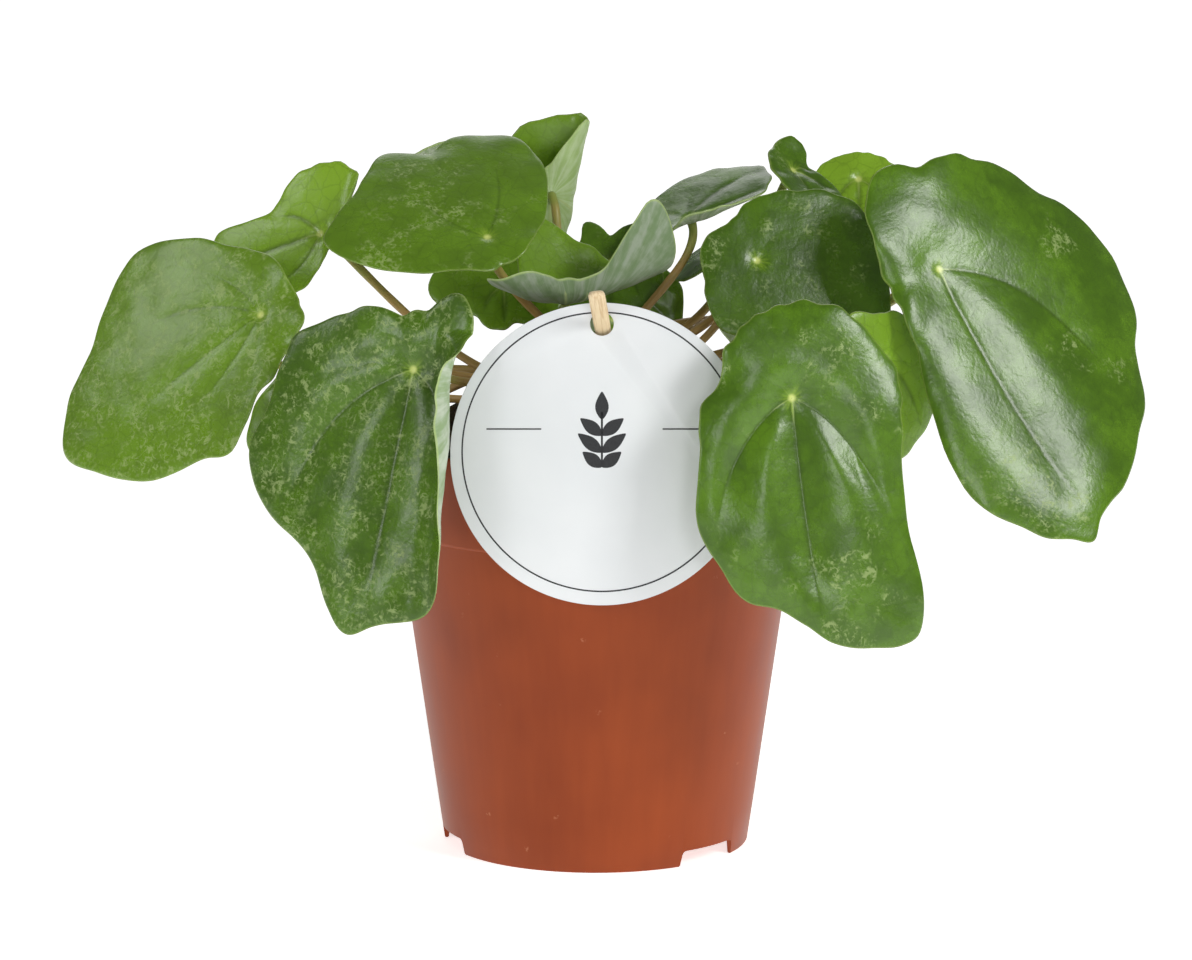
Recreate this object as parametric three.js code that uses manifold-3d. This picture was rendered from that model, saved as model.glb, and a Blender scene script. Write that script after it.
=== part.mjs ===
// A potted Chinese money plant (Pilea) with speckled leaves: a nursery pot of soil, a short
// trunk, leaves on long stalks, and a round card tag held up by a wooden stick.
// Millimetres, +Z up. The origin is on the ground under the centre of the pot, the front is -Y.
import * as THREE from "three";
import { mergeVertices } from "three/addons/utils/BufferGeometryUtils.js";
import Module from "manifold-3d";

const wasm = await Module();
wasm.setup();

// ---------------------------------------------------------------- driving sizes
const gap = 0.3;

const potHeight = 117;
const potRimRadius = 60;
const potBandRadius = 57.3;
const potBandHeight = 91.5;
const potShoulder = 0.8;
const potFootRadius = 43.5;
const potWall = 1.2;
const potFloor = 4.5;
const notchDirections = [-43, -163, 77];
const notchHalfAngle = 13.5;
const notchHeight = 4.5;
const drainHoles = 6;
const drainHoleRadius = 3.5;
const drainCircle = 30;

const soilEdge = 115.5;
const soilCrown = 123.5;

const trunkRadius = 4.5;
const trunkTop = 146.5;
const trunkBottom = 90;

const tagRadius = 41;
const tagThickness = 0.7;
const tagLean = 5;
const tagCentreX = 1.6;
const tagCentreZ = 120.8;
const tagHoleRadius = 3.2;
const tagHoleUp = 35.3;

const stickWidth = 4.8;
const stickDepth = 2.4;
const stickAboveHole = 14.5;
const stickFoot = new THREE.Vector3(10, -4, 104);

const bladeThickness = 0.9;
const stalkRadius = 1.35;

// ---------------------------------------------------------------- materials
const plastic = new THREE.MeshStandardMaterial({ color: 0xa8563a, roughness: 0.45 });
const earth = new THREE.MeshStandardMaterial({ color: 0x2a221d, roughness: 1 });
const bark = new THREE.MeshStandardMaterial({ color: 0x6b5238, roughness: 0.8 });
const card = new THREE.MeshStandardMaterial({ color: 0xeceff0, roughness: 0.6 });
const wood = new THREE.MeshStandardMaterial({ color: 0xe4cfa2, roughness: 0.7 });
const leafGreen = new THREE.MeshStandardMaterial({ color: 0x4f8424, roughness: 0.4 });
const leafLime = new THREE.MeshStandardMaterial({ color: 0x7faf3a, roughness: 0.45 });

// ---------------------------------------------------------------- solids
const rad = THREE.MathUtils.degToRad;

function solid(geometry) {
  const bare = geometry.clone();
  bare.deleteAttribute("normal");
  bare.deleteAttribute("uv");
  const merged = mergeVertices(bare, 1e-4);
  const mesh = { numProp: 3 };
  mesh.vertProperties = new Float32Array(merged.attributes.position.array);
  mesh.triVerts = new Uint32Array(merged.index.array);
  return new wasm.Manifold(new wasm.Mesh(mesh));
}

function geometryOf(body) {
  const mesh = body.getMesh();
  const geometry = new THREE.BufferGeometry();
  geometry.setAttribute("position", new THREE.BufferAttribute(mesh.vertProperties, 3));
  geometry.setIndex(new THREE.BufferAttribute(mesh.triVerts, 1));
  geometry.computeVertexNormals();
  return geometry;
}

function closedMesh(points, faces) {
  const geometry = new THREE.BufferGeometry();
  geometry.setAttribute("position", new THREE.Float32BufferAttribute(points, 3));
  geometry.setIndex(faces);
  geometry.computeVertexNormals();
  return geometry;
}

// A lathe turned about +Z; the profile is [radius, height] points, closed on itself.
function turned(profile, segments) {
  const points = profile.map(([r, z]) => new THREE.Vector2(r, z));
  return new THREE.LatheGeometry(points, segments).rotateX(Math.PI / 2);
}

function upright(radius, bottom, top, x, y, segments) {
  const rod = new THREE.CylinderGeometry(radius, radius, top - bottom, segments);
  return rod.rotateX(Math.PI / 2).translate(x, y, (top + bottom) / 2);
}

const plant = new THREE.Group();

function add(name, geometry, material) {
  const mesh = new THREE.Mesh(geometry, material);
  mesh.name = name;
  plant.add(mesh);
  return mesh;
}

// ---------------------------------------------------------------- pot
// Thin moulded shell with a slightly wider band below the rim, a raised floor with drain
// holes, and a foot ring that three shallow notches let water out of.
const innerRim = potRimRadius - potWall;
const innerBand = potBandRadius - potWall;
const innerFoot = potFootRadius - potWall;
const potProfile = [
  [0, potFloor],
  [innerFoot, potFloor],
  [innerFoot, 0],
  [potFootRadius, 0],
  [potBandRadius - potShoulder, potBandHeight],
  [potBandRadius, potBandHeight + potShoulder],
  [potRimRadius, potHeight],
  [innerRim, potHeight],
  [innerBand, potBandHeight + potShoulder],
  [innerFoot + potWall * 0.2, potFloor + potWall],
  [0, potFloor + potWall],
];
let pot = solid(turned(potProfile, 48));
for (const direction of notchDirections) {
  const width = 2 * potFootRadius * Math.sin(rad(notchHalfAngle));
  const notch = new THREE.BoxGeometry(3 * potWall + 6, width, 2 * notchHeight);
  notch.translate(potFootRadius - potWall, 0, 0).rotateZ(rad(direction));
  pot = pot.subtract(solid(notch));
}
for (let i = 0; i < drainHoles; i += 1) {
  const turn = (i / drainHoles) * 2 * Math.PI;
  const [x, y] = [drainCircle * Math.cos(turn), drainCircle * Math.sin(turn)];
  pot = pot.subtract(solid(upright(drainHoleRadius, 0, 2 * potFloor, x, y, 12)));
}
add("pot", geometryOf(pot), plastic);

// ---------------------------------------------------------------- soil
// Potting soil fills the pot and is heaped round the trunk, with a lumpy top.
const lump = (x, y) => Math.sin(0.23 * x + 1.3) * Math.cos(0.19 * y) + 0.6 * Math.sin(0.41 * (x + y));

function soilGeometry() {
  const around = 28;
  const rings = 5;
  const bottom = potFloor + potWall + gap;
  const wallRadius = (z) => innerFoot + ((innerBand - 1.2 - innerFoot) * z) / potBandHeight - 3 * gap;
  const points = [0, 0, soilCrown];
  for (let ring = 1; ring <= rings; ring += 1) {
    const share = ring / rings;
    for (let i = 0; i < around; i += 1) {
      const turn = (i / around) * 2 * Math.PI;
      const x = wallRadius(soilEdge) * share * Math.cos(turn);
      const y = wallRadius(soilEdge) * share * Math.sin(turn);
      const heap = (soilCrown - soilEdge) * (1 - share ** 4);
      points.push(x, y, soilEdge + heap + 1.4 * lump(x, y) * (1 - share));
    }
  }
  for (let i = 0; i < around; i += 1) {
    const turn = (i / around) * 2 * Math.PI;
    points.push(wallRadius(bottom) * Math.cos(turn), wallRadius(bottom) * Math.sin(turn), bottom);
  }
  points.push(0, 0, bottom);
  const at = (ring, i) => 1 + (ring - 1) * around + (i % around);
  const faces = [];
  for (let i = 0; i < around; i += 1) {
    faces.push(0, at(1, i), at(1, i + 1));
    for (let ring = 1; ring <= rings; ring += 1) {
      faces.push(at(ring, i), at(ring + 1, i), at(ring + 1, i + 1));
      faces.push(at(ring, i), at(ring + 1, i + 1), at(ring, i + 1));
    }
    faces.push(at(rings + 1, i), (rings + 1) * around + 1, at(rings + 1, i + 1));
  }
  return closedMesh(points, faces);
}

// ---------------------------------------------------------------- leaves
// Each blade hangs on its stalk at the eye, well inside its outline. It is laid out flat about
// the eye, dished, waved and rolled, and then turned to its place:
//   eye      where the stalk meets the blade
//   faces    compass direction of the upper face, 0 = +X, 90 = +Y, -90 = the front
//   up       how far above the horizon the upper face looks
//   tip      turn of the leaf tip from straight downhill
//   outline  [direction from the tip, distance from the eye] points round the margin
//   rolls    [direction, start, radius, most]: what lies past the start rolls down, or up if the
//            radius is negative, by up to so many degrees
//   dish     how far the margin hangs below the eye
//   wave     [height, number, phase] of the undulation of the margin
//   node     height on the trunk where the stalk grows out, and rise, its slope there
// A round blade has one or two shallow lobes and is given by its radius and the eye's offset.
const round = (radius, offset, notch = 0.12) =>
  Array.from({ length: 12 }, (_, i) => {
    const turn = (i / 12) * 2 * Math.PI;
    const reach = offset * Math.cos(turn) + Math.sqrt(radius ** 2 - (offset * Math.sin(turn)) ** 2);
    const sinus = 1 - notch * Math.max(0, -Math.cos(turn)) ** 6;
    const uneven = 1 + 0.035 * Math.sin(3 * turn + radius) + 0.025 * Math.cos(5 * turn + offset);
    return [(turn * 180) / Math.PI, reach * sinus * uneven];
  });

const leaves = {
  leaf_left_outer: {
    eye: [-93.2, -22, 154], faces: -118, up: 28, tip: -48, dish: 3, wave: [0.8, 5, 40],
    outline: [[-158, 13], [-120, 19], [-92, 26], [-80, 36], [-65, 50], [-55, 55], [-42, 57],
      [-30, 59], [-21, 66.5], [-12, 69.5], [-4, 71.5], [5, 66], [14, 59], [24, 52], [36, 44],
      [48, 39], [55, 31], [62, 24], [75, 20], [89, 16], [110, 14], [132, 15], [160, 12]],
    node: 130, rise: 6,
  },
  leaf_left_front: {
    eye: [-49.5, -60, 144], faces: -108, up: 14, tip: -8, dish: 2, wave: [0.8, 5, 0],
    outline: [[-166, 16], [-155, 15], [-139, 20], [-117, 26], [-103, 32], [-92, 38],
      [-79, 40], [-65, 45], [-57, 53], [-48, 57], [-37, 60], [-24, 60], [-15, 61], [-9, 68],
      [-3, 74], [2, 72], [12, 66], [18, 60], [25, 50], [40, 34], [55, 27], [75, 23],
      [96, 22], [115, 23], [132, 27], [145, 29], [155, 26], [166, 20], [178, 17]],
    rolls: [[95, 6, -7, 130]],
    node: 130, rise: 4,
  },
  leaf_left_tucked: {
    eye: [-74, -42, 136], faces: -105, up: 12, tip: -50, dish: 1, wave: [0.4, 4, 90],
    outline: [[0, 28], [20, 27], [50, 23], [90, 18], [135, 13], [180, 11], [-135, 11],
      [-90, 13], [-50, 15], [-20, 23]],
    node: 126.5, rise: 6, aside: 12,
  },
  leaf_left_upper: {
    eye: [-30, -25, 176], faces: -88, up: 52, tip: -110, dish: 2, wave: [0.8, 4, 0],
    outline: [[-150, 14], [-122, 21], [-103, 31], [-93, 38], [-80, 44], [-67, 46], [-58, 46],
      [-48, 41], [-42, 44], [-34, 48], [-19, 44], [-7, 42], [9, 44], [18, 45], [28, 40],
      [42, 29], [60, 20], [81, 15], [113, 13], [135, 11], [156, 12], [177, 12]],
    node: 139, rise: 45,
  },
  leaf_left_rear: {
    eye: [-78, 2, 174], faces: -118, up: 22, tip: -70, dish: 1, wave: [0.6, 4, 0],
    outline: [[-160, 7], [-145, 14], [-135, 20], [-122, 21], [-110, 22], [-95, 21],
      [-80, 21], [-62, 20], [-46, 19], [-35, 20], [-26, 26], [-18, 36], [-5, 36], [15, 28],
      [40, 21], [60, 17], [80, 11], [110, 6], [150, 4.5]],
    rolls: [[158, 4, -5, 100]],
    node: 127, rise: 6, spring: 0.45, aside: 4,
  },
  leaf_upright: {
    eye: [-13, 12, 184], faces: 105, up: 8, tip: 0, dish: 0, wave: [0, 4, 0],
    outline: [[178, 9], [-164, 16], [-155, 23], [-142, 25], [-135, 27.5], [-118, 31.5],
      [-102, 36.5], [-80, 36], [-60, 28], [-40, 20], [-20, 17], [0, 15], [45, 11], [90, 8],
      [135, 8]],
    rolls: [[-80, 2.3, -6, 165]],
    node: 141.5, rise: 60, aside: 10,
  },
  leaf_cupped: {
    eye: [-8.5, -24, 158.5], faces: -90, up: 88, tip: 0, dish: 0, wave: [0.3, 4, 0],
    outline: [[-161, 32], [-148, 30], [-131, 23], [-110, 14], [-92, 15], [-78, 20],
      [-60, 26], [-45, 28], [-34, 28], [-26, 26], [-12, 20], [-3, 17], [30, 14], [59, 18],
      [70, 30], [78, 42], [86, 44], [100, 38], [125, 31], [145, 28], [161, 29], [170, 29],
      [-174, 30]],
    rolls: [[35, 2, -8, 84], [-145, 2, -14, 58], [125, 0, -85, 40], [-55, 0, -45, 45]],
    node: 142, rise: 40,
  },
  leaf_left_low: {
    eye: [-26.2, 14, 157.8], faces: -88, up: 30, tip: 0, dish: 1, wave: [0.5, 4, 60],
    outline: [[-94, 21.5], [-81, 21], [-70, 18.5], [-59, 14], [-43, 12.5], [-18, 14],
      [-8, 14], [19, 12], [45, 16], [70, 17.5], [90, 17], [120, 16], [150, 15], [180, 13],
      [-150, 14], [-120, 18]],
    node: 134, rise: 40, aside: 6,
  },
  leaf_mid_low: {
    eye: [11.5, 28, 153], faces: -90, up: 15, tip: 10, dish: 1, wave: [0.5, 4, 0],
    outline: round(14, 4),
    node: 132.5, rise: 30, aside: 2,
  },
  leaf_mid_rear: {
    eye: [4, 18, 164], faces: -90, up: 35, tip: 0, dish: 1, wave: [0.4, 5, 0],
    outline: [[180, 9], [-166, 13], [-152, 15], [-130, 11], [-90, 10.5], [-45, 17], [0, 19],
      [45, 18], [90, 15], [125, 15], [145, 16], [160, 13]],
    node: 139, rise: 50,
  },
  leaf_edge_on: {
    eye: [34, 16, 168], faces: -163, up: 58, tip: 163, dish: 1, wave: [0.4, 3, 0],
    outline: round(12, -4),
    node: 137.7, rise: 12, spring: 0.6, aside: -2,
  },
  leaf_right_tilted: {
    eye: [26.5, 6, 178], faces: -140, up: 62, tip: 140, dish: 0, wave: [0.4, 4, 0],
    outline: [[0, 24], [30, 28], [60, 28], [90, 26], [120, 22], [150, 17], [180, 15],
      [-150, 10], [-120, 9], [-90, 11], [-60, 13], [-30, 18]],
    rolls: [[-90, 1, -10, 50]],
    node: 142, rise: 55,
  },
  leaf_right_dark: {
    eye: [45, -12, 168], faces: -80, up: 25, tip: 80, dish: 2, wave: [0.8, 5, 0],
    outline: [[-171, 16], [-155, 16], [-134, 19], [-110, 23], [-98, 23], [-89, 25], [-71, 28],
      [-51, 34], [-37, 40], [-27, 42], [-7, 39], [15, 36], [34, 36], [51, 31], [66, 25],
      [84, 21], [101, 18], [124, 14], [146, 14], [169, 16]],
    node: 132.5, rise: 3, spring: 0.5, aside: -4,
  },
  leaf_right_small: {
    eye: [56.4, 17, 190.7], faces: -40, up: 50, tip: 40, dish: 0, wave: [0.3, 4, 0],
    outline: [[-150, 9], [-120, 10], [-90, 13], [-60, 18], [-33, 24], [-20, 22], [-10, 18],
      [10, 13], [30, 9], [55, 7], [80, 10], [105, 12], [125, 11], [150, 9], [180, 9]],
    rolls: [[110, 2, -14, 30]],
    node: 139.9, rise: 6, spring: 0.6, aside: -34,
  },
  leaf_right_lime: {
    eye: [76, 38, 186], faces: -90, up: 35, tip: 0, dish: 1, wave: [0.4, 4, 0],
    outline: round(13, 3),
    node: 135.1, rise: 6, spring: 0.4, aside: 13, neck: 0.18,
  },
  leaf_right_large: {
    eye: [95.3, -24, 167], faces: -62, up: 26, tip: 25, dish: 4, wave: [1, 5, 0],
    outline: [[-179, 32], [-163, 27], [-150, 23], [-135, 19], [-117, 17], [-101, 16],
      [-77, 18], [-60, 22], [-49, 27], [-39, 40], [-33, 56], [-28, 63], [-21, 69], [-15, 74],
      [-9, 80], [-3, 84], [0, 86], [6, 80], [12, 81], [18, 81], [27, 76], [36, 71], [48, 68],
      [60, 66], [69, 62], [79, 57], [87, 51], [93, 46], [107, 43], [120, 39], [139, 34],
      [154, 30], [170, 32]],
    node: 129.3, rise: 6, aside: 14, neck: 0.62,
  },
  leaf_right_front: {
    eye: [52.5, -72, 138], faces: -82, up: 14, tip: 8, dish: 4, wave: [0.8, 5, 20],
    outline: [[-179, 25], [-164, 24], [-150, 23], [-132, 22], [-115, 20], [-105, 21],
      [-94, 25], [-80, 27], [-66, 30], [-57, 35], [-48, 41], [-39, 47], [-31, 50], [-21, 56],
      [-12, 57], [-6, 61], [0, 67], [9, 70], [15, 73], [20, 72], [26, 62], [32, 49], [42, 39],
      [55, 33], [75, 30], [95, 30], [114, 28], [135, 28], [157, 27]],
    node: 130, rise: 10, aside: -6,
  },
  leaf_right_olive: {
    eye: [79, -33, 142], faces: -52, up: 8, tip: 0, dish: 1, wave: [0.6, 4, 0],
    outline: round(22, 6),
    node: 127, rise: 4, aside: -4,
  },
  leaf_back_outer: {
    eye: [-118, 48, 142], faces: 150, up: 36, tip: 20, dish: 4, wave: [0.9, 4, 0],
    outline: round(27, 8),
    node: 130.5, rise: 12,
  },
  leaf_back_left: {
    eye: [-46, 60, 186], faces: 122, up: 46, tip: -15, dish: 4, wave: [0.8, 4, 0],
    outline: round(27, 8),
    node: 138.5, rise: 45, aside: -16,
  },
  leaf_back_low_left: {
    eye: [-70, 58, 116], faces: 130, up: 18, tip: 0, dish: 3, wave: [0.8, 4, 50],
    outline: round(25, 8),
    node: 128, rise: 25, spring: 0.5, aside: -6,
  },
  leaf_back_low: {
    eye: [2, 74.5, 128], faces: 93, up: 24, tip: 10, dish: 4, wave: [0.9, 5, 0],
    outline: round(29, 10),
    node: 134.5, rise: 22, aside: 8,
  },
  leaf_back_low_right: {
    eye: [58, 64, 112], faces: 52, up: 16, tip: 0, dish: 3, wave: [0.8, 5, 30],
    outline: round(26, 9),
    node: 129, rise: 32, spring: 0.5, aside: 8,
  },
  leaf_back_right: {
    eye: [60, 61, 151], faces: 58, up: 42, tip: 10, dish: 4, wave: [0.9, 4, 60],
    outline: round(29, 9),
    node: 140.4, rise: 22, spring: 0.5, aside: -6,
  },
  leaf_back_high_right: {
    eye: [112, 50, 172], faces: 35, up: 50, tip: 0, dish: 3, wave: [0.8, 4, 0],
    outline: round(24, 7),
    node: 131, rise: 12, aside: 6,
  },
  leaf_back_outer_right: {
    eye: [104, 28, 140], faces: 15, up: 30, tip: -10, dish: 3, wave: [0.8, 5, 0],
    outline: round(27, 8),
    node: 133.6, rise: 14, aside: -3,
  },
  leaf_young_left: {
    eye: [-12, -2, 149], faces: 180, up: 50, tip: 0, dish: 0.5, wave: [0.2, 3, 0],
    outline: round(4.5, 1),
    node: 142, rise: 60, stalk: 0.9,
  },
  leaf_young_right: {
    eye: [5, -9, 151], faces: -60, up: 60, tip: 0, dish: 0.5, wave: [0.2, 3, 0],
    outline: round(5, 1),
    node: 141, rise: 60, stalk: 0.9,
  },
};

const slopes = (outline) =>
  outline.map(([turn], i) => {
    const before = outline[(i + outline.length - 1) % outline.length];
    const after = outline[(i + 1) % outline.length];
    const step = (((after[0] - before[0]) % 360) + 360) % 360;
    return (after[1] - before[1]) / step;
  });

// Distance from the eye to the margin, on a smooth closed curve through the outline's points.
function reachAt(leaf, degrees) {
  const { outline } = leaf;
  leaf.slopes ??= slopes(outline);
  for (let i = 0; i < outline.length; i += 1) {
    const next = (i + 1) % outline.length;
    const step = (((outline[next][0] - outline[i][0]) % 360) + 360) % 360;
    const into = (((degrees - outline[i][0]) % 360) + 360) % 360;
    if (into <= step) {
      const t = into / step;
      const start = (1 + 2 * t) * (1 - t) ** 2 * outline[i][1];
      const end = t * t * (3 - 2 * t) * outline[next][1];
      const leave = t * (1 - t) ** 2 * step * leaf.slopes[i];
      const arrive = t * t * (t - 1) * step * leaf.slopes[next];
      return start + end + leave + arrive;
    }
  }
  return outline[0][1];
}

// Rolls what lies past start, in the given direction, round a cylinder across the blade, and
// lets it run on straight once it has turned by the given angle.
function roll(point, [direction, start, radius, most]) {
  const [c, s] = [Math.cos(rad(direction)), Math.sin(rad(direction))];
  const over = point.x * c + point.y * s - start;
  if (over <= 0) return;
  const round = Math.abs(radius);
  const bend = Math.min(over / round, rad(most));
  const rest = over - bend * round;
  const arm = round + Math.sign(radius) * point.z;
  const along = arm * Math.sin(bend) + rest * Math.cos(bend) - over;
  point.x += along * c;
  point.y += along * s;
  point.z = Math.sign(radius) * (arm * Math.cos(bend) - round - rest * Math.sin(bend));
}

function frameOf(leaf) {
  const [a, e, t] = [rad(leaf.faces), rad(leaf.up), rad(leaf.tip)];
  const normal = new THREE.Vector3(Math.cos(e) * Math.cos(a), Math.cos(e) * Math.sin(a), Math.sin(e));
  const downhill = new THREE.Vector3(Math.sin(e) * Math.cos(a), Math.sin(e) * Math.sin(a), -Math.cos(e));
  const tip = downhill.applyAxisAngle(normal, t);
  const side = normal.clone().cross(tip);
  return new THREE.Matrix4().makeBasis(tip, side, normal).setPosition(...leaf.eye);
}

// The blade's spokes run to every point of the outline, with more between where they spread.
function spokes(leaf, widest) {
  const directions = [];
  leaf.outline.forEach(([turn], i) => {
    const after = leaf.outline[(i + 1) % leaf.outline.length][0];
    const step = (((after - turn) % 360) + 360) % 360;
    const parts = Math.ceil(step / widest);
    for (let part = 0; part < parts; part += 1) directions.push(turn + (part * step) / parts);
  });
  return directions;
}

function bladeGeometry(leaf, directions, rings) {
  const place = frameOf(leaf);
  const around = directions.length;
  const size = leaf.outline.reduce((sum, [, reach]) => sum + reach, 0) / leaf.outline.length;
  const [height, number, phase] = leaf.wave;
  const points = [];
  const faces = [];
  const put = (degrees, share, side) => {
    const turn = rad(degrees);
    const reach = reachAt(leaf, degrees) * share;
    const sag = leaf.dish * (reach / size) ** 2;
    const ripple = height * share ** 3 * Math.cos(number * turn + rad(phase));
    const point = new THREE.Vector3(reach * Math.cos(turn), reach * Math.sin(turn), side + ripple - sag);
    (leaf.rolls ?? []).forEach((one) => roll(point, one));
    points.push(...point.applyMatrix4(place).toArray());
  };
  const layer = 1 + rings * around;
  for (const side of [bladeThickness / 2, -bladeThickness / 2]) {
    put(0, 0, side);
    for (let ring = 1; ring <= rings; ring += 1) {
      directions.forEach((degrees) => put(degrees, ring / rings, side));
    }
  }
  const at = (ring, i) => 1 + (ring - 1) * around + (i % around);
  const both = (a, b, c) => faces.push(a, b, c, a + layer, c + layer, b + layer);
  for (let i = 0; i < around; i += 1) {
    both(0, at(1, i), at(1, i + 1));
    for (let ring = 1; ring < rings; ring += 1) {
      both(at(ring, i), at(ring + 1, i), at(ring + 1, i + 1));
      both(at(ring, i), at(ring + 1, i + 1), at(ring, i + 1));
    }
    const [edge, next] = [at(rings, i), at(rings, i + 1)];
    faces.push(edge, edge + layer, next + layer, edge, next + layer, next);
  }
  return closedMesh(points, faces);
}

// The stalk leaves the trunk outwards and upwards, and meets the blade square from below.
function stalkGeometry(leaf) {
  const eye = new THREE.Vector3(...leaf.eye);
  const heading = Math.atan2(leaf.eye[1], leaf.eye[0]) + rad(leaf.aside ?? 0);
  const rise = rad(leaf.rise ?? 40);
  const away = new THREE.Vector3(Math.cos(heading), Math.sin(heading), 0);
  const outward = away.clone().multiplyScalar(Math.cos(rise)).setZ(Math.sin(rise));
  const thick = leaf.stalk ?? stalkRadius;
  const foot = away.multiplyScalar(trunkRadius + gap + thick * Math.sin(rise)).setZ(leaf.node);
  const span = foot.distanceTo(eye);
  const normal = new THREE.Vector3().setFromMatrixColumn(frameOf(leaf), 2);
  const first = foot.clone().addScaledVector(outward, (leaf.spring ?? 0.4) * span);
  const last = eye.clone().addScaledVector(normal, -(leaf.neck ?? 0.3) * span);
  const path = new THREE.CubicBezierCurve3(foot, first, last, eye);
  const section = new THREE.Shape();
  const sides = 6;
  for (let i = 0; i < sides; i += 1) {
    const turn = (i / sides) * 2 * Math.PI;
    const [x, y] = [thick * Math.cos(turn), thick * Math.sin(turn)];
    if (i === 0) section.moveTo(x, y);
    else section.lineTo(x, y);
  }
  section.closePath();
  const steps = span > 45 ? 9 : 6;
  return new THREE.ExtrudeGeometry(section, { steps, bevelEnabled: false, extrudePath: path });
}

for (const [name, leaf] of Object.entries(leaves)) {
  const widest = Math.max(...leaf.outline.map(([, reach]) => reach));
  const rings = leaf.rolls ? 4 : widest > 35 ? 3 : 2;
  const blade = solid(bladeGeometry(leaf, spokes(leaf, leaf.rolls ? 20 : 30), rings));
  const stalk = solid(stalkGeometry(leaf));
  add(name, geometryOf(blade.add(stalk)), name.endsWith("lime") ? leafLime : leafGreen);
}

// ---------------------------------------------------------------- trunk
// A short bare stem, ringed where old leaves have dropped, standing in the soil.
const trunkProfile = [[0, trunkBottom], [trunkRadius * 0.8, trunkBottom]];
const scarPitch = 6;
for (let z = trunkBottom + scarPitch; z < trunkTop - 2; z += scarPitch) {
  trunkProfile.push([trunkRadius - 0.3, z - scarPitch / 2], [trunkRadius, z]);
}
trunkProfile.push([trunkRadius * 0.8, trunkTop - 1], [trunkRadius * 0.4, trunkTop], [0, trunkTop]);
add("trunk", turned(trunkProfile, 16), bark);

// ---------------------------------------------------------------- tag and stick
const lean = rad(tagLean);
const tagCentreY =
  -potRimRadius - gap - tagThickness / 2 + (tagCentreZ - potHeight) * Math.tan(lean);
const disc = new THREE.CylinderGeometry(tagRadius, tagRadius, tagThickness, 56);
const punch = new THREE.CylinderGeometry(tagHoleRadius, tagHoleRadius, 3 * tagThickness, 20);
punch.translate(0, 0, tagHoleUp);
const tagPlace = new THREE.Matrix4().makeTranslation(tagCentreX, tagCentreY, tagCentreZ);
tagPlace.multiply(new THREE.Matrix4().makeRotationX(-lean));
const tag = solid(disc.applyMatrix4(tagPlace)).subtract(solid(punch.applyMatrix4(tagPlace)));
add("tag", geometryOf(tag), card);

const hole = new THREE.Vector3(0, 0, tagHoleUp).applyMatrix4(tagPlace);
const stickAxis = hole.clone().sub(stickFoot);
const stickLength = stickAxis.length() + stickAboveHole;
stickAxis.normalize();

function stickGeometry(grow) {
  const half = stickWidth / 2;
  const profile = [[0, -grow], [half * 0.35, -grow], [half + grow, 6], [half + grow, stickLength - 2]];
  profile.push([half * 0.8 + grow, stickLength - 0.8], [half * 0.4, stickLength], [0, stickLength]);
  const blank = turned(profile, 16);
  blank.scale(1, (stickDepth / 2 + grow) / (stickWidth / 2 + grow), 1);
  const turn = new THREE.Quaternion().setFromUnitVectors(new THREE.Vector3(0, 0, 1), stickAxis);
  return blank.applyQuaternion(turn).translate(...stickFoot.toArray());
}
add("stick", stickGeometry(0), wood);

const trunkHole = upright(trunkRadius + gap, trunkBottom - gap, trunkTop, 0, 0, 16);
const soil = solid(soilGeometry()).subtract(solid(trunkHole)).subtract(solid(stickGeometry(gap)));
add("soil", geometryOf(soil), earth);

export default plant;
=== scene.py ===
import bpy
import math
import numpy as np
from mathutils import Matrix, Vector


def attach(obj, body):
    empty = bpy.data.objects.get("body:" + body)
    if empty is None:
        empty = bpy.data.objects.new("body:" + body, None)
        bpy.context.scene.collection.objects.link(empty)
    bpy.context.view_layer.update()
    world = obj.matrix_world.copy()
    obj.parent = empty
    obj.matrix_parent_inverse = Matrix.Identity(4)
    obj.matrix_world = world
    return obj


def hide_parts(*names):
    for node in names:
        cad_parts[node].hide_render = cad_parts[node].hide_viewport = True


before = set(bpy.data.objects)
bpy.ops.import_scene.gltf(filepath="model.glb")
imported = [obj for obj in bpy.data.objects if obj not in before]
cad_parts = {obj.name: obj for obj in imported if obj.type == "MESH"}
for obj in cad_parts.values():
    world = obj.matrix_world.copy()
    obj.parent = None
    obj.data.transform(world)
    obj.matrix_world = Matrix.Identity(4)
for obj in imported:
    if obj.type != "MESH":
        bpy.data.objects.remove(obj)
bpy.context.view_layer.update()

mm = 0.001

# ---- Pot ---------------------------------------------------------------------------------------
# Nursery pot, injection-moulded in one piece from thin terracotta polypropylene: a tapered wall, a
# slightly wider band below the rim, a raised floor with drain holes, and a foot ring with notches.
pot_height = 117
rim_radius = 60
band_radius = 57.3
band_height = 91.5
foot_radius = 43.5
wall = 1.2
floor_height = 4.5
shoulder = 0.8
notch_directions = (-43, -163, 77)
notch_half_angle = 13.5
notch_height = 4.5
drain_holes = 6
drain_hole_radius = 3.5
drain_circle = 30


def alone(piece):
    """Only this piece is selected, and it is the one worked on."""
    bpy.ops.object.select_all(action="DESELECT")
    piece.select_set(True)
    bpy.context.view_layer.objects.active = piece


def linear(colour):
    """An sRGB hex colour as linear red, green, blue and alpha."""
    parts = [int(colour[i : i + 2], 16) / 255 for i in (1, 3, 5)]
    return [p / 12.92 if p < 0.04045 else ((p + 0.055) / 1.055) ** 2.4 for p in parts] + [1.0]


def surface(name):
    """A material with only its Principled shader and output."""
    made = bpy.data.materials.new(name)
    made.use_nodes = True
    return made, made.node_tree.nodes["Principled BSDF"]


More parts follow.
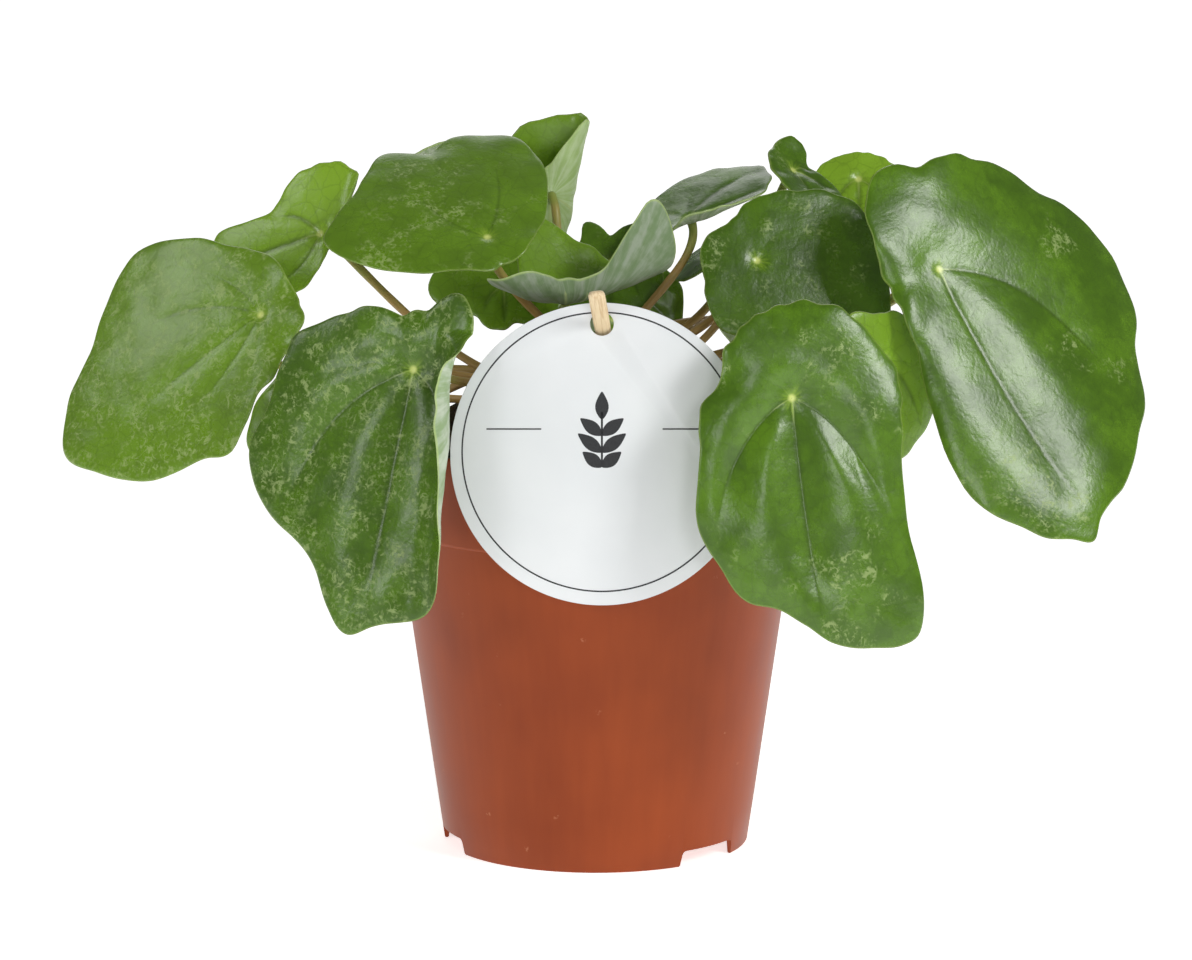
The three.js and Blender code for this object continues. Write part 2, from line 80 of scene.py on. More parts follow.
def wire(node, sockets):
    """Gives each named socket a value, or a link from a socket or from a node's first output in use."""
    for name, value in sockets.items():
        if isinstance(value, bpy.types.Node):
            value = next(output for output in value.outputs if output.enabled)
        if isinstance(value, bpy.types.NodeSocket):
            node.id_data.links.new(value, node.inputs[name])
        else:
            node.inputs[name].default_value = value


def add(material, kind, settings, sockets):
    """Adds a node with its settings, and wires its sockets."""
    made = material.node_tree.nodes.new("ShaderNode" + kind)
    for name, value in settings.items():
        setattr(made, name, value)
    wire(made, sockets)
    return made


def lathed(name, profile, segments):
    """A ring of points drawn up along [radius, height] steps, and closed at both ends."""
    (radius, height), rest = profile[0], profile[1:]
    bpy.ops.mesh.primitive_circle_add(
        vertices=segments, radius=radius * mm, location=(0, 0, height * mm)
    )
    piece = bpy.context.object
    piece.name = name
    bpy.ops.object.transform_apply()
    bpy.ops.object.mode_set(mode="EDIT")
    bpy.ops.mesh.select_all(action="SELECT")
    for next_radius, next_height in rest:
        bpy.ops.mesh.extrude_region_move(
            TRANSFORM_OT_translate={"value": (0, 0, (next_height - height) * mm)}
        )
        grow = next_radius / radius
        bpy.ops.transform.resize(value=(grow, grow, 1), center_override=(0, 0, next_height * mm))
        radius, height = next_radius, next_height
    bpy.ops.mesh.edge_face_add()
    bpy.ops.mesh.select_all(action="DESELECT")
    bpy.ops.mesh.select_non_manifold()
    bpy.ops.mesh.edge_face_add()
    bpy.ops.mesh.select_all(action="SELECT")
    bpy.ops.mesh.normals_make_consistent(inside=False)
    bpy.ops.object.mode_set(mode="OBJECT")
    return piece


def cut(piece, cutters):
    """Takes the cutters' shapes out of the piece, and removes them."""
    for cutter in cutters:
        alone(piece)
        carve = piece.modifiers.new("cut", "BOOLEAN")
        carve.operation = "DIFFERENCE"
        carve.solver = "EXACT"
        carve.object = cutter
        bpy.ops.object.modifier_apply(modifier=carve.name)
        bpy.data.objects.remove(cutter)


inner_foot = foot_radius - wall
inner_band = band_radius - wall
inner_rim = rim_radius - wall
slope = (band_radius - shoulder - foot_radius) / band_height
pot_profile = [(inner_foot, floor_height), (inner_foot, 0.3), (inner_foot + 0.3, 0)]
pot_profile += [(foot_radius - 0.3, 0), (foot_radius, 0.4)]
pot_profile += [(foot_radius + slope * z, z) for z in (12, 24, 36, 48, 60, 72, 84)]
pot_profile += [(band_radius - shoulder - 0.05, band_height - 0.5)]
pot_profile += [(band_radius - shoulder + 0.05, band_height), (band_radius - 0.12, band_height + 0.55)]
pot_profile += [(band_radius, band_height + 0.95)]
pot_profile += [(band_radius + 0.106 * (z - band_height), z) for z in (98, 104, 110)]
for turn in range(0, 181, 30):
    side = (math.cos(math.radians(turn)), math.sin(math.radians(turn)))
    middle = (rim_radius - wall / 2, pot_height - wall / 2)
    pot_profile.append((middle[0] + side[0] * wall / 2, middle[1] + side[1] * wall / 2))
pot_profile += [(inner_band, band_height + shoulder), (inner_foot + 1.6, 12)]
pot_profile += [(inner_foot + 0.7, floor_height + wall + 1), (inner_foot - 0.6, floor_height + wall)]
pot = lathed("nursery_pot", pot_profile, 192)

cutters = []
for direction in notch_directions:
    bpy.ops.mesh.primitive_cube_add(size=1)
    cutter = bpy.context.object
    width = 2 * foot_radius * math.sin(math.radians(notch_half_angle))
    for corner in cutter.data.vertices:
        flare = 0.5 + 0.06 * (corner.co.z < 0)
        corner.co.x = (foot_radius - wall + math.copysign(4.8, corner.co.x)) * mm
        corner.co.y = math.copysign(flare * width, corner.co.y) * mm
        corner.co.z = math.copysign(notch_height, corner.co.z) * mm
    alone(cutter)
    bpy.ops.object.mode_set(mode="EDIT")
    bpy.ops.mesh.select_all(action="SELECT")
    bpy.ops.mesh.bevel(offset=1.1 * mm, segments=4, affect="EDGES")
    bpy.ops.object.mode_set(mode="OBJECT")
    cutter.rotation_euler.z = math.radians(direction)
    bpy.ops.object.transform_apply()
    cutters.append(cutter)
for hole in range(drain_holes):
    turn = math.radians(hole * 360 / drain_holes)
    spot = (drain_circle * math.cos(turn) * mm, drain_circle * math.sin(turn) * mm, 5 * mm)
    bpy.ops.mesh.primitive_cylinder_add(
        vertices=48, radius=drain_hole_radius * mm, depth=6 * mm, location=spot
    )
    cutters.append(bpy.context.object)
cut(pot, cutters)
alone(pot)
bpy.ops.object.shade_smooth_by_angle(angle=math.radians(35))

# Settings that many nodes share: a range with soft ends, a mix of colours, a product, and a product
# with a third number added.
eased = {"interpolation_type": "SMOOTHSTEP"}
in_colour = {"data_type": "RGBA"}
times = {"operation": "MULTIPLY"}
times_plus = {"operation": "MULTIPLY_ADD"}

# Moulded polypropylene: satin, with a cloudy tint, faint upright flow marks and a few pale scuffs.
plastic, shader = surface("moulded_polypropylene_terracotta")
spot = add(plastic, "TexCoord", {}, {}).outputs["Object"]
cloud = add(plastic, "TexNoise", {}, {"Vector": spot, "Scale": 1 / (45 * mm), "Detail": 3})
stretch = add(plastic, "Mapping", {}, {"Vector": spot, "Scale": (1, 1, 0.03)})
flow = add(plastic, "TexNoise", {}, {"Vector": stretch, "Scale": 1 / (4 * mm), "Detail": 4})
grain = add(plastic, "TexNoise", {}, {"Vector": spot, "Scale": 1 / (0.9 * mm), "Detail": 3})
both = add(plastic, "Math", times_plus, {0: flow, 1: 0.35, 2: cloud})
tint = add(plastic, "MapRange", {}, {"Value": both, "From Min": 0.4, "From Max": 0.95})
body = add(plastic, "Mix", in_colour, {0: tint, 6: linear("#84350E"), 7: linear("#9E4619")})
scuff_bend = add(plastic, "TexNoise", {}, {"Vector": spot, "Scale": 1 / (3 * mm), "Detail": 2})
scuff_spot = add(plastic, "VectorMath", times_plus,
                 {0: scuff_bend.outputs["Color"], 1: (2.4 * mm,) * 3, 2: spot})
scuffs = add(plastic, "TexVoronoi", {"feature": "F1"}, {"Vector": scuff_spot, "Scale": 1 / (11 * mm)})
scuff = add(plastic, "MapRange", eased, {"Value": scuffs, "From Min": 0.1, "From Max": 0.03})
scuff_here = add(plastic, "MapRange", eased,
                 {"Value": grain, "From Min": 0.45, "From Max": 0.62, "To Max": 0.5})
worn = add(plastic, "Math", times, {0: scuff, 1: scuff_here})
coloured = add(plastic, "Mix", in_colour, {0: worn, 6: body, 7: linear("#C98460")})
gloss = add(plastic, "MapRange", {},
            {"Value": both, "From Min": 0.4, "From Max": 0.95, "To Min": 0.36, "To Max": 0.46})
rough = add(plastic, "Math", times_plus, {0: worn, 1: 0.3, 2: gloss})
skin_height = add(plastic, "Math", times_plus, {0: grain, 1: 0.3, 2: flow})
relief = add(plastic, "Bump", {}, {"Height": skin_height, "Strength": 0.35, "Distance": 0.05 * mm})
wire(shader, {"Base Color": coloured, "Roughness": rough, "Normal": relief, "IOR": 1.49,
              "Specular IOR Level": 0.25})
pot.data.materials.append(plastic)
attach(pot, "root")
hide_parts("pot")

# ---- Soil --------------------------------------------------------------------------------------
# Peat potting soil, heaped round the trunk and lumpy, with loose crumbs, a few white perlite
# grains and short brown fibres lying on top.
soil_edge = 115.5
soil_crown = 123.5
soil_radius = 58.2
soil_taper = 14.5
crumb_count = 1500
perlite_count = 34
fibre_count = 60
chance = np.random.default_rng(7)


def ball(name, segments, rings):
    """A ball to be shaped by formula, with each point's turn, its angle around the ball, and its
    fall, from 0 at the upper pole to 1 at the lower one."""
    bpy.ops.mesh.primitive_uv_sphere_add(segments=segments, ring_count=rings, radius=1)
    piece = bpy.context.object
    piece.name = name
    bpy.ops.object.shade_smooth()
    spots = np.empty(3 * len(piece.data.vertices))
    piece.data.vertices.foreach_get("co", spots)
    x, y, z = spots.reshape(-1, 3).T
    turn = np.round(np.arctan2(y, x) / (2 * math.pi) * segments) % segments
    fall = np.round(np.arccos(np.clip(z, -1, 1)) / math.pi * rings)
    return piece, turn * 2 * math.pi / segments, fall / rings


def shape(piece, points):
    """Moves a piece's points to these places, in millimetres."""
    piece.data.vertices.foreach_set("co", (points * mm).ravel())
    piece.data.update()


def hills(x, y, length, seed):
    """A smooth uneven field from about -1 to 1, with its hills about one length apart."""
    pick = np.random.default_rng(seed)
    total = 0
    for _ in range(7):
        heading, start = pick.uniform(0, 2 * math.pi, 2)
        along = (x * math.cos(heading) + y * math.sin(heading)) / (length * pick.uniform(0.75, 1.4))
        total = total + np.sin(2 * math.pi * along + start)
    return total / 2.6


def soil_top(x, y):
    """Height of the soil's surface: a low heap with lumps and clods."""
    share = np.hypot(x, y) / soil_radius
    lump = np.sin(0.23 * x + 1.3) * np.cos(0.19 * y) + 0.6 * np.sin(0.41 * (x + y))
    heap = (soil_crown - soil_edge) * (1 - share**4)
    clods = 0.7 * hills(x, y, 7, 1) + 0.35 * hills(x, y, 3, 2)
    return soil_edge + heap + 1.4 * lump * (1 - share) + clods - 0.3


def strewn(name, grain_points, grain_faces, places, sizes, flatness):
    """Copies of one small shape at the places, each turned and stretched in its own way."""
    points, faces = [], []
    for place, size in zip(places, sizes):
        turned = Matrix.Rotation(chance.uniform(0, 6.28), 3, Vector(chance.normal(size=3)))
        stretch = size * chance.uniform(flatness, 1.25, 3)
        faces += [[corner + len(points) for corner in face] for face in grain_faces]
        points += [tuple((place + np.array(turned @ Vector(p * stretch))) * mm) for p in grain_points]
    mesh = bpy.data.meshes.new(name)
    mesh.from_pydata(points, [], faces)
    piece = bpy.data.objects.new(name, mesh)
    bpy.context.scene.collection.objects.link(piece)
    return piece


soil, turn, fall = ball("potting_soil", 192, 120)
share = np.where(fall <= 0.5, 2 * fall, 1)
under = np.clip((fall - 0.5) / 0.1, 0, 1)
across = (soil_radius * share - soil_taper * under) * np.clip((1 - fall) / 0.4, 0, 1)
x, y = across * np.cos(turn), across * np.sin(turn)
deep = soil_edge + (floor_height + wall + 0.2 - soil_edge) * under
shape(soil, np.stack([x, y, np.where(fall <= 0.5, soil_top(x, y), deep)], axis=1))

bpy.ops.mesh.primitive_ico_sphere_add(subdivisions=1, radius=1)
crumb = bpy.context.object
crumb_points = np.array([
    v.co * (1 + 0.25 * math.sin(9 * v.co.x + 5 * v.co.z)) for v in crumb.data.vertices
])
crumb_faces = [list(face.vertices) for face in crumb.data.polygons]
bpy.data.objects.remove(crumb)


def on_soil(count, inside, outside):
    """Places spread evenly over the soil, between two distances from the trunk."""
    away = np.sqrt(chance.uniform(inside**2, outside**2, count))
    heading = chance.uniform(0, 2 * math.pi, count)
    x, y = away * np.cos(heading), away * np.sin(heading)
    return np.stack([x, y, soil_top(x, y)], axis=1)


crumbs = strewn("soil_crumbs", crumb_points, crumb_faces, on_soil(crumb_count, 5, 57),
                chance.gamma(3, 0.28, crumb_count) + 0.35, 0.6)
perlite = strewn("perlite_grains", crumb_points, crumb_faces, on_soil(perlite_count, 6, 56),
                 chance.uniform(0.6, 1.3, perlite_count), 0.75)
bpy.ops.mesh.primitive_cylinder_add(vertices=5, radius=0.16, depth=2)
straw = bpy.context.object
straw_points = np.array([v.co for v in straw.data.vertices])
straw_faces = [list(face.vertices) for face in straw.data.polygons]
bpy.data.objects.remove(straw)
fibre_places = on_soil(fibre_count, 6, 55)
fibre_places[:, 2] += 0.4
fibres = strewn("peat_fibres", straw_points * (0.9, 0.9, 3), straw_faces, fibre_places,
                chance.uniform(0.8, 1.6, fibre_count), 0.9)

# Damp peat: almost black and matt, with browner crumbs. Perlite is a dull white glassy foam.
peat, shader = surface("damp_peat")
spot = add(peat, "TexCoord", {}, {}).outputs["Object"]
clod = add(peat, "TexNoise", {}, {"Vector": spot, "Scale": 1 / (2.4 * mm), "Detail": 6, "Roughness": 0.7})
dust = add(peat, "TexNoise", {}, {"Vector": spot, "Scale": 1 / (0.5 * mm), "Detail": 3})
mixed = add(peat, "Math", times_plus, {0: dust, 1: 0.4, 2: clod})
brown = add(peat, "MapRange", eased, {"Value": mixed, "From Min": 0.45, "From Max": 1.0})
earth = add(peat, "Mix", in_colour, {0: brown, 6: linear("#15100C"), 7: linear("#4A3828")})
relief = add(peat, "Bump", {}, {"Height": mixed, "Strength": 0.9, "Distance": 0.6 * mm})
wire(shader, {"Base Color": earth, "Normal": relief, "Roughness": 0.92, "Specular IOR Level": 0.25})

foam, shader = surface("expanded_perlite")
spot = add(foam, "TexCoord", {}, {}).outputs["Object"]
pores = add(foam, "TexNoise", {}, {"Vector": spot, "Scale": 1 / (0.4 * mm), "Detail": 3})
white = add(foam, "Mix", in_colour, {0: pores, 6: linear("#A59C8C"), 7: linear("#E6E1D6")})
wire(shader, {"Base Color": white, "Roughness": 0.85})

straw_fibre, shader = surface("dry_peat_fibre")
spot = add(straw_fibre, "TexCoord", {}, {}).outputs["Object"]
tones = add(straw_fibre, "TexNoise", {}, {"Vector": spot, "Scale": 1 / (6 * mm)})
brown = add(straw_fibre, "Mix", in_colour, {0: tones, 6: linear("#3A2616"), 7: linear("#7C5B36")})
wire(shader, {"Base Color": brown, "Roughness": 0.8})

for piece, finish in ((soil, peat), (crumbs, peat), (perlite, foam), (fibres, straw_fibre)):
    piece.data.materials.append(finish)
    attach(piece, "root")
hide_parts("soil")

# ---- Trunk -------------------------------------------------------------------------------------
# Short bare stem of the plant, woody and brown below, ringed where old leaves have dropped, and
# green at the growing tip.
trunk_radius = 4.5
trunk_top = 146.5
trunk_bottom = 90
scar_pitch = 6
green_tip = 12.5

trunk, turn, fall = ball("plant_trunk", 48, 160)
height = trunk_bottom + (trunk_top - trunk_bottom) * (1 - fall)
ringed = 0.22 * np.cos(2 * math.pi * (height - trunk_bottom) / scar_pitch)
knotty = 0.18 * np.sin(3 * turn + 0.9 * height) + 0.1 * np.sin(7 * turn - 1.7 * height)
below_top = np.clip((trunk_top - height) / 6, 0, 1)
cap = np.sqrt(np.clip(1 - (1 - below_top) ** 2.4, 0, 1)) * np.clip((height - trunk_bottom) / 0.5, 0, 1)
thick = (trunk_radius - 0.25 + ringed + knotty) * cap
shape(trunk, np.stack([thick * np.cos(turn), thick * np.sin(turn), height], axis=1))

# Young bark: thin and dull, brown with corky flecks, and greener towards the tip.
bark, shader = surface("young_corky_bark")
spot = add(bark, "TexCoord", {}, {}).outputs["Object"]
apart = add(bark, "SeparateXYZ", {}, {"Vector": spot})
cork = add(bark, "TexNoise", {}, {"Vector": spot, "Scale": 1 / (1.6 * mm), "Detail": 5})
ripe = add(bark, "MapRange", {},
           {"Value": apart.outputs["Z"], "From Min": (trunk_top - green_tip) * mm,
            "From Max": (trunk_top + 0.5) * mm})
brown = add(bark, "Mix", in_colour, {0: cork, 6: linear("#3C2C1C"), 7: linear("#8A7350")})
stem = add(bark, "Mix", in_colour, {0: ripe, 6: brown, 7: linear("#6F7E3A")})
relief = add(bark, "Bump", {}, {"Height": cork, "Strength": 0.6, "Distance": 0.25 * mm})
wire(shader, {"Base Color": stem, "Normal": relief, "Roughness": 0.75})
trunk.data.materials.append(bark)
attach(trunk, "root")
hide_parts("trunk")

# ---- Leaves ------------------------------------------------------------------------------------
# Fleshy round blades, each hung on its long stalk at the eye, well inside the margin. The upper
# skin is waxed and speckled, the underside paler, and both are puckered between the veins.
blade_thickness = 0.9
eye_dimple = 0.9
dimple_radius = 2.2
groove_width = 1.1
groove_depth = 0.2
stalk_radius = 1.25
bronze_share = 0.5

# Each leaf reads the patterns of its skin so far away from the leaf before it.
pattern_step = 37.0


def rounded(radius, offset, notch=0.12):
    """The outline of a round blade whose eye is off its middle, with a shallow sinus."""
    points = []
    for step in range(12):
        turn = step / 12 * 2 * math.pi
        reach = offset * math.cos(turn) + math.sqrt(radius**2 - (offset * math.sin(turn)) ** 2)
        sinus = 1 - notch * max(0, -math.cos(turn)) ** 6
        uneven = 1 + 0.035 * math.sin(3 * turn + radius) + 0.025 * math.cos(5 * turn + offset)
        points.append([math.degrees(turn), reach * sinus * uneven])
    return points


# eye      where the stalk meets the blade
# faces    compass direction of the upper face, 0 = +X, 90 = +Y, -90 = the front
# up       how far above the horizon the upper face looks
# tip      turn of the leaf tip from straight downhill
# outline  [direction from the tip, distance from the eye] points round the margin
# rolls    [direction, start, radius, most]: what lies past the start rolls down, or up if the
#          radius is negative, by up to so many degrees, or by five amounts along the roll
# dish     how far the margin hangs below the eye
# wave     [height, number, phase] of the undulation of the margin
# arch     [direction, ridge, droop]: the blade also droops to both sides of a ridge so far out
# veins    [direction at the eye, depth] of the main veins
# bend     how many degrees they turn by the margin towards axis, the direction of the midrib
# fold     depth of the troughs along the veins, and gutter, their width, as shares of the size
# node     height on the trunk where the stalk grows out, and rise, its slope there
# aside    turn of the stalk's way out from the eye's direction, seen from above
# spring   share of the stalk's span that it shoots out straight, and neck, the same at the eye
# stalk    radius of the stalk of a young leaf
# look     [tone, flecks, pucker]: -1 dark to 1 lime, share of pale flecks, height of the puckers;
#          the tone is partly the leaf's own and partly painted light that lifts leaves lying in shade
# under    tone of the underside, where it is another one
# spots    [x, y, radius, gain] of places with more flecks
leaves = {
    "leaf_left_outer": {
        "eye": [-93.2, -22, 154], "faces": -118, "up": 28, "tip": -48, "dish": 3,
        "wave": [0.8, 5, 40],
        "outline": [[-158, 13], [-120, 19], [-92, 26], [-80, 36], [-65, 50], [-55, 55], [-42, 57],
            [-30, 59], [-21, 66.5], [-12, 69.5], [-4, 71.5], [5, 66], [14, 59], [24, 52], [36, 44],
            [48, 39], [55, 31], [62, 24], [75, 20], [89, 16], [110, 14], [132, 15], [160, 12]],
        "node": 130, "rise": 6, "look": [0.4, 1.2, 0.1], "bend": 40, "fold": 0.012,
        "veins": [[0, 0.6], [35, 0.6], [75, 0.4], [115, 0.4], [155, 0.3], [-165, 0.3], [-125, 0.4],
            [-92, 0.6], [-56, 0.7], [-25, 0.3]],
    },
    "leaf_left_front": {
        "eye": [-49.5, -60, 144], "faces": -108, "up": 14, "tip": -8, "dish": 1,
        "arch": [90, -6, 4], "wave": [0.8, 5, 0],
        "outline": [[-166, 16], [-155, 15], [-139, 20], [-117, 26], [-103, 32], [-92, 38],
            [-79, 40], [-65, 45], [-57, 52], [-48, 55], [-37, 57], [-26, 57.5], [-16, 61], [-9, 68],
            [-3, 74], [2, 72], [12, 66], [18, 60], [25, 50], [40, 34], [55, 27], [75, 23], [96, 22],
            [112, 19], [122, 19], [132, 20.5], [143, 23], [154, 24.5], [163, 23], [170, 20],
            [178, 16.5]],
        "rolls": [[95, 5.4, -7, 92, 100, 126, 112, 12]], "node": 130, "rise": 4,
        "look": [-0.15, 1.1, 0.14], "fold": 0.05, "gutter": 0.13,
    },
    "leaf_left_tucked": {
        "eye": [-74, -42, 136], "faces": -105, "up": 12, "tip": -50, "dish": 1,
        "wave": [0.4, 4, 90],
        "outline": [[0, 28], [20, 27], [50, 23], [90, 18], [135, 13], [180, 11], [-135, 11],
            [-90, 13], [-50, 15], [-20, 23]],
        "node": 126.5, "rise": 6, "aside": 12, "look": [0.3, 0.4, 0.2],
    },
    "leaf_left_upper": {
        "eye": [-30, -25, 176], "faces": -88, "up": 52, "tip": -110, "dish": 2, "wave": [0.8, 4, 0],
        "outline": [[-150, 14], [-122, 21], [-103, 31], [-93, 38], [-80, 44], [-67, 46], [-58, 46],
            [-48, 41], [-42, 44], [-34, 48], [-19, 44], [-7, 42], [9, 44], [18, 45], [28, 40],
            [42, 29], [60, 20], [81, 15], [113, 13], [135, 11], [156, 12], [177, 12]],
        "node": 139, "rise": 45, "look": [0.24, 0.55, 0.08],
        "spots": [[18, -12, 20, 0.35], [24, 14, 10, 0.35]], "axis": -60, "bend": 50, "fold": 0.02,
        "veins": [[3, 0.6], [-25, 0.2], [-60, 0.3], [-92, 0.7], [-130, 0.2], [-170, 0.2],
            [150, 0.2], [105, 0.3], [60, 0.2], [30, 0.2]],
    },
    "leaf_left_rear": {
        "eye": [-78, 2, 174], "faces": -118, "up": 22, "tip": -70, "dish": 1, "wave": [0.6, 4, 0],
        "outline": [[-160, 7], [-145, 14], [-135, 20], [-122, 21], [-110, 22], [-95, 21], [-80, 21],
            [-62, 20], [-46, 19], [-35, 20], [-26, 26], [-18, 36], [-5, 36], [15, 28], [40, 21],
            [60, 17], [80, 11], [110, 6], [150, 4.5]],
        "rolls": [[158, 4, -5, 100]], "node": 127, "rise": 6, "spring": 0.45, "aside": 4,
        "look": [1, 0.15, 0.06], "fold": 0.012,
    },
    "leaf_upright": {
        "eye": [-13, 12, 184], "faces": 105, "up": 8, "tip": 0, "dish": 0, "wave": [0, 4, 0],
        "outline": [[178, 9], [-164, 16], [-155, 23], [-142, 25], [-135, 27.5], [-118, 31.5],
            [-102, 36.5], [-80, 36], [-60, 28], [-40, 20], [-20, 17], [0, 15], [45, 11], [90, 8],
            [135, 8]],
        "rolls": [[-80, 2.3, -6, 165]], "node": 141.5, "rise": 60, "aside": 10,
        "look": [0.5, 0.2, 0.15],
    },
    "leaf_cupped": {
        "eye": [-8.5, -24, 158.5], "faces": -90, "up": 88, "tip": 0, "dish": 0, "wave": [0.3, 4, 0],
        "outline": [[-161, 32], [-148, 30], [-131, 23], [-110, 14], [-92, 15], [-78, 20], [-60, 26],
            [-45, 28], [-34, 28], [-26, 26], [-12, 20], [-3, 17], [30, 14], [59, 18], [70, 30],
            [78, 42], [86, 44], [100, 38], [125, 31], [145, 28], [161, 29], [170, 29], [-174, 30]],
        "rolls": [[35, 2, -8, 84], [-145, 2, -14, 58], [125, 0, -85, 40], [-55, 0, -45, 45]],
        "node": 142, "rise": 40, "look": [0.6, 0.6, 0.06], "under": -0.5,
    },
    "leaf_left_low": {
        "eye": [-26.2, 14, 157.8], "faces": -88, "up": 30, "tip": 0, "dish": 1,
        "wave": [0.5, 4, 60],
        "outline": [[-94, 21.5], [-81, 21], [-70, 18.5], [-59, 14], [-43, 12.5], [-18, 14],
            [-8, 14], [19, 12], [45, 16], [70, 17.5], [90, 17], [120, 16], [150, 15], [180, 13],
            [-150, 14], [-120, 18]],
        "node": 134, "rise": 40, "aside": 6, "look": [0.6, 0.5, 0.12],
    },
    "leaf_mid_low": {
        "eye": [11.5, 28, 153], "faces": -90, "up": 15, "tip": 10, "dish": 1, "wave": [0.5, 4, 0],
        "outline": rounded(14, 4),
        "node": 132.5, "rise": 30, "aside": 2, "look": [0.4, 0.3, 0.2],
    },
    "leaf_mid_rear": {
        "eye": [4, 18, 164], "faces": -90, "up": 35, "tip": 0, "dish": 1, "wave": [0.4, 5, 0],
        "outline": [[180, 9], [-166, 13], [-152, 15], [-130, 11], [-90, 10.5], [-45, 17], [0, 19],
            [45, 18], [90, 15], [125, 15], [145, 16], [160, 13]],
        "node": 139, "rise": 50, "look": [0.1, 0.3, 0.2],
    },
    "leaf_edge_on": {
        "eye": [34, 16, 168], "faces": -163, "up": 58, "tip": 163, "dish": 1, "wave": [0.4, 3, 0],
        "outline": rounded(12, -4),
        "node": 137.7, "rise": 12, "spring": 0.6, "aside": -2, "look": [0, 0.3, 0.15],
    },
    "leaf_right_tilted": {
        "eye": [26.5, 6, 178], "faces": -140, "up": 62, "tip": 140, "dish": 0, "wave": [0.4, 4, 0],
        "outline": [[0, 24], [30, 28], [60, 28], [90, 26], [120, 22], [150, 17], [180, 15],
            [-150, 10], [-120, 9], [-90, 11], [-60, 13], [-30, 18]],
        "rolls": [[-90, 1, -10, 50]], "node": 142, "rise": 55, "look": [0, 0.4, 0.06],
    },
    "leaf_right_dark": {
        "eye": [45, -12, 168], "faces": -80, "up": 25, "tip": 80, "dish": 1, "wave": [0.3, 5, 0],
        "outline": [[-171, 16], [-155, 16], [-134, 19], [-110, 23], [-98, 23], [-89, 25], [-71, 28],
            [-51, 34], [-37, 40], [-27, 42], [-7, 39], [15, 36], [34, 36], [51, 31], [66, 25],
            [84, 21], [101, 18], [124, 14], [146, 14], [169, 16]],
        "node": 132.5, "rise": 3, "spring": 0.5, "aside": -4, "look": [-0.24, 0.7, 0.06],
        "fold": 0.01,
        "veins": [[0, 0.5], [35, 0.3], [75, 0.4], [115, 0.3], [155, 0.3], [-165, 0.3], [-125, 0.3],
            [-92, 0.4], [-56, 0.3], [-25, 0.3]],
    },
    "leaf_right_small": {
        "eye": [56.4, 17, 190.7], "faces": -40, "up": 50, "tip": 40, "dish": 0, "wave": [0.3, 4, 0],
        "outline": [[-150, 9], [-120, 10], [-90, 13], [-60, 18], [-33, 24], [-20, 22], [-10, 18],
            [10, 13], [30, 9], [55, 7], [80, 10], [105, 12], [125, 11], [150, 9], [180, 9]],
        "rolls": [[110, 2, -14, 30]], "node": 139.9, "rise": 6, "spring": 0.6, "aside": -34,
        "look": [-0.15, 0.6, 0.25],
    },
    "leaf_right_lime": {
        "eye": [76, 38, 186], "faces": -90, "up": 35, "tip": 0, "dish": 1, "wave": [0.4, 4, 0],
        "outline": rounded(13, 3),
        "node": 135.1, "rise": 6, "spring": 0.4, "aside": 13, "neck": 0.18, "look": [1, 0.2, 0.15],
    },
    "leaf_right_large": {
        "eye": [95.3, -24, 167], "faces": -62, "up": 26, "tip": 25, "dish": 1, "arch": [84, 15, 10],
        "wave": [1, 5, 0],
        "outline": [[-179, 32], [-163, 27], [-150, 23], [-135, 19], [-117, 17], [-101, 16],
            [-77, 18], [-60, 22], [-49, 27], [-39, 40], [-33, 54.5], [-26, 66], [-18, 74.5],
            [-14, 80], [-9, 84], [-5, 87], [-1, 81.5], [3, 79.5], [8, 79.5], [16, 77.5], [27, 74],
            [36, 70], [48, 67.5], [60, 66], [69, 62], [79, 57], [87, 51], [93, 46], [107, 43],
            [120, 39], [139, 34], [154, 30], [170, 32]],
        "node": 129.3, "rise": 6, "aside": 14, "neck": 0.62, "look": [0, 0.15, 0.08],
        "spots": [[12, 40, 7, 1.3], [57, -16, 10, 1.4], [74, -13, 12, 1.1], [39, 20, 8, 1],
            [50, 32, 8, 0.9]],
        "bend": 45, "fold": 0.037, "gutter": 0.2,
        "veins": [[-10, 1], [22, 0.1], [62, 0.9], [100, 0.15], [140, 0.1], [180, 0.1], [-145, 0.1],
            [-110, 0.1], [-70, 0.2], [-38, 0.1]],
    },
    "leaf_right_front": {
        "eye": [52.5, -72, 138], "faces": -82, "up": 14, "tip": 8, "dish": 2, "wave": [0.8, 5, 20],
        "outline": [[-179, 25], [-164, 24], [-150, 23], [-132, 22], [-115, 20], [-105, 21],
            [-94, 25], [-80, 27], [-66, 30], [-57, 35], [-48, 41], [-39, 47], [-31, 50], [-21, 56],
            [-12, 57], [-6, 61], [0, 67], [9, 70], [15, 73], [20, 72], [26, 62], [32, 49], [42, 39],
            [55, 33], [75, 30], [95, 30], [114, 28], [135, 28], [157, 27]],
        "node": 130, "rise": 10, "aside": -6, "look": [-0.05, 0.4, 0.1],
        "spots": [[6, 21, 5, 0.8], [49, 7, 12, 0.9], [-8, -16, 5, 0.8], [34, -23, 6, 0.5],
            [-11, 14, 9, 0.5], [68, 4, 9, 0.6]],
        "bend": 40, "fold": 0.075, "gutter": 0.13,
        "veins": [[-5, 1], [25, 0.2], [60, 0.8], [100, 0.4], [140, 0.3], [180, 0.3], [-145, 0.3],
            [-110, 0.4], [-74, 0.9], [-38, 0.2]],
    },
    "leaf_right_olive": {
        "eye": [79, -33, 142], "faces": -52, "up": 8, "tip": 0, "dish": 1, "wave": [0.6, 4, 0],
        "outline": rounded(22, 6),
        "node": 127, "rise": 4, "aside": -4, "look": [0.62, 0.3, 0.12],
    },
    "leaf_back_outer": {
        "eye": [-118, 48, 142], "faces": 150, "up": 36, "tip": 20, "dish": 4, "wave": [0.9, 4, 0],
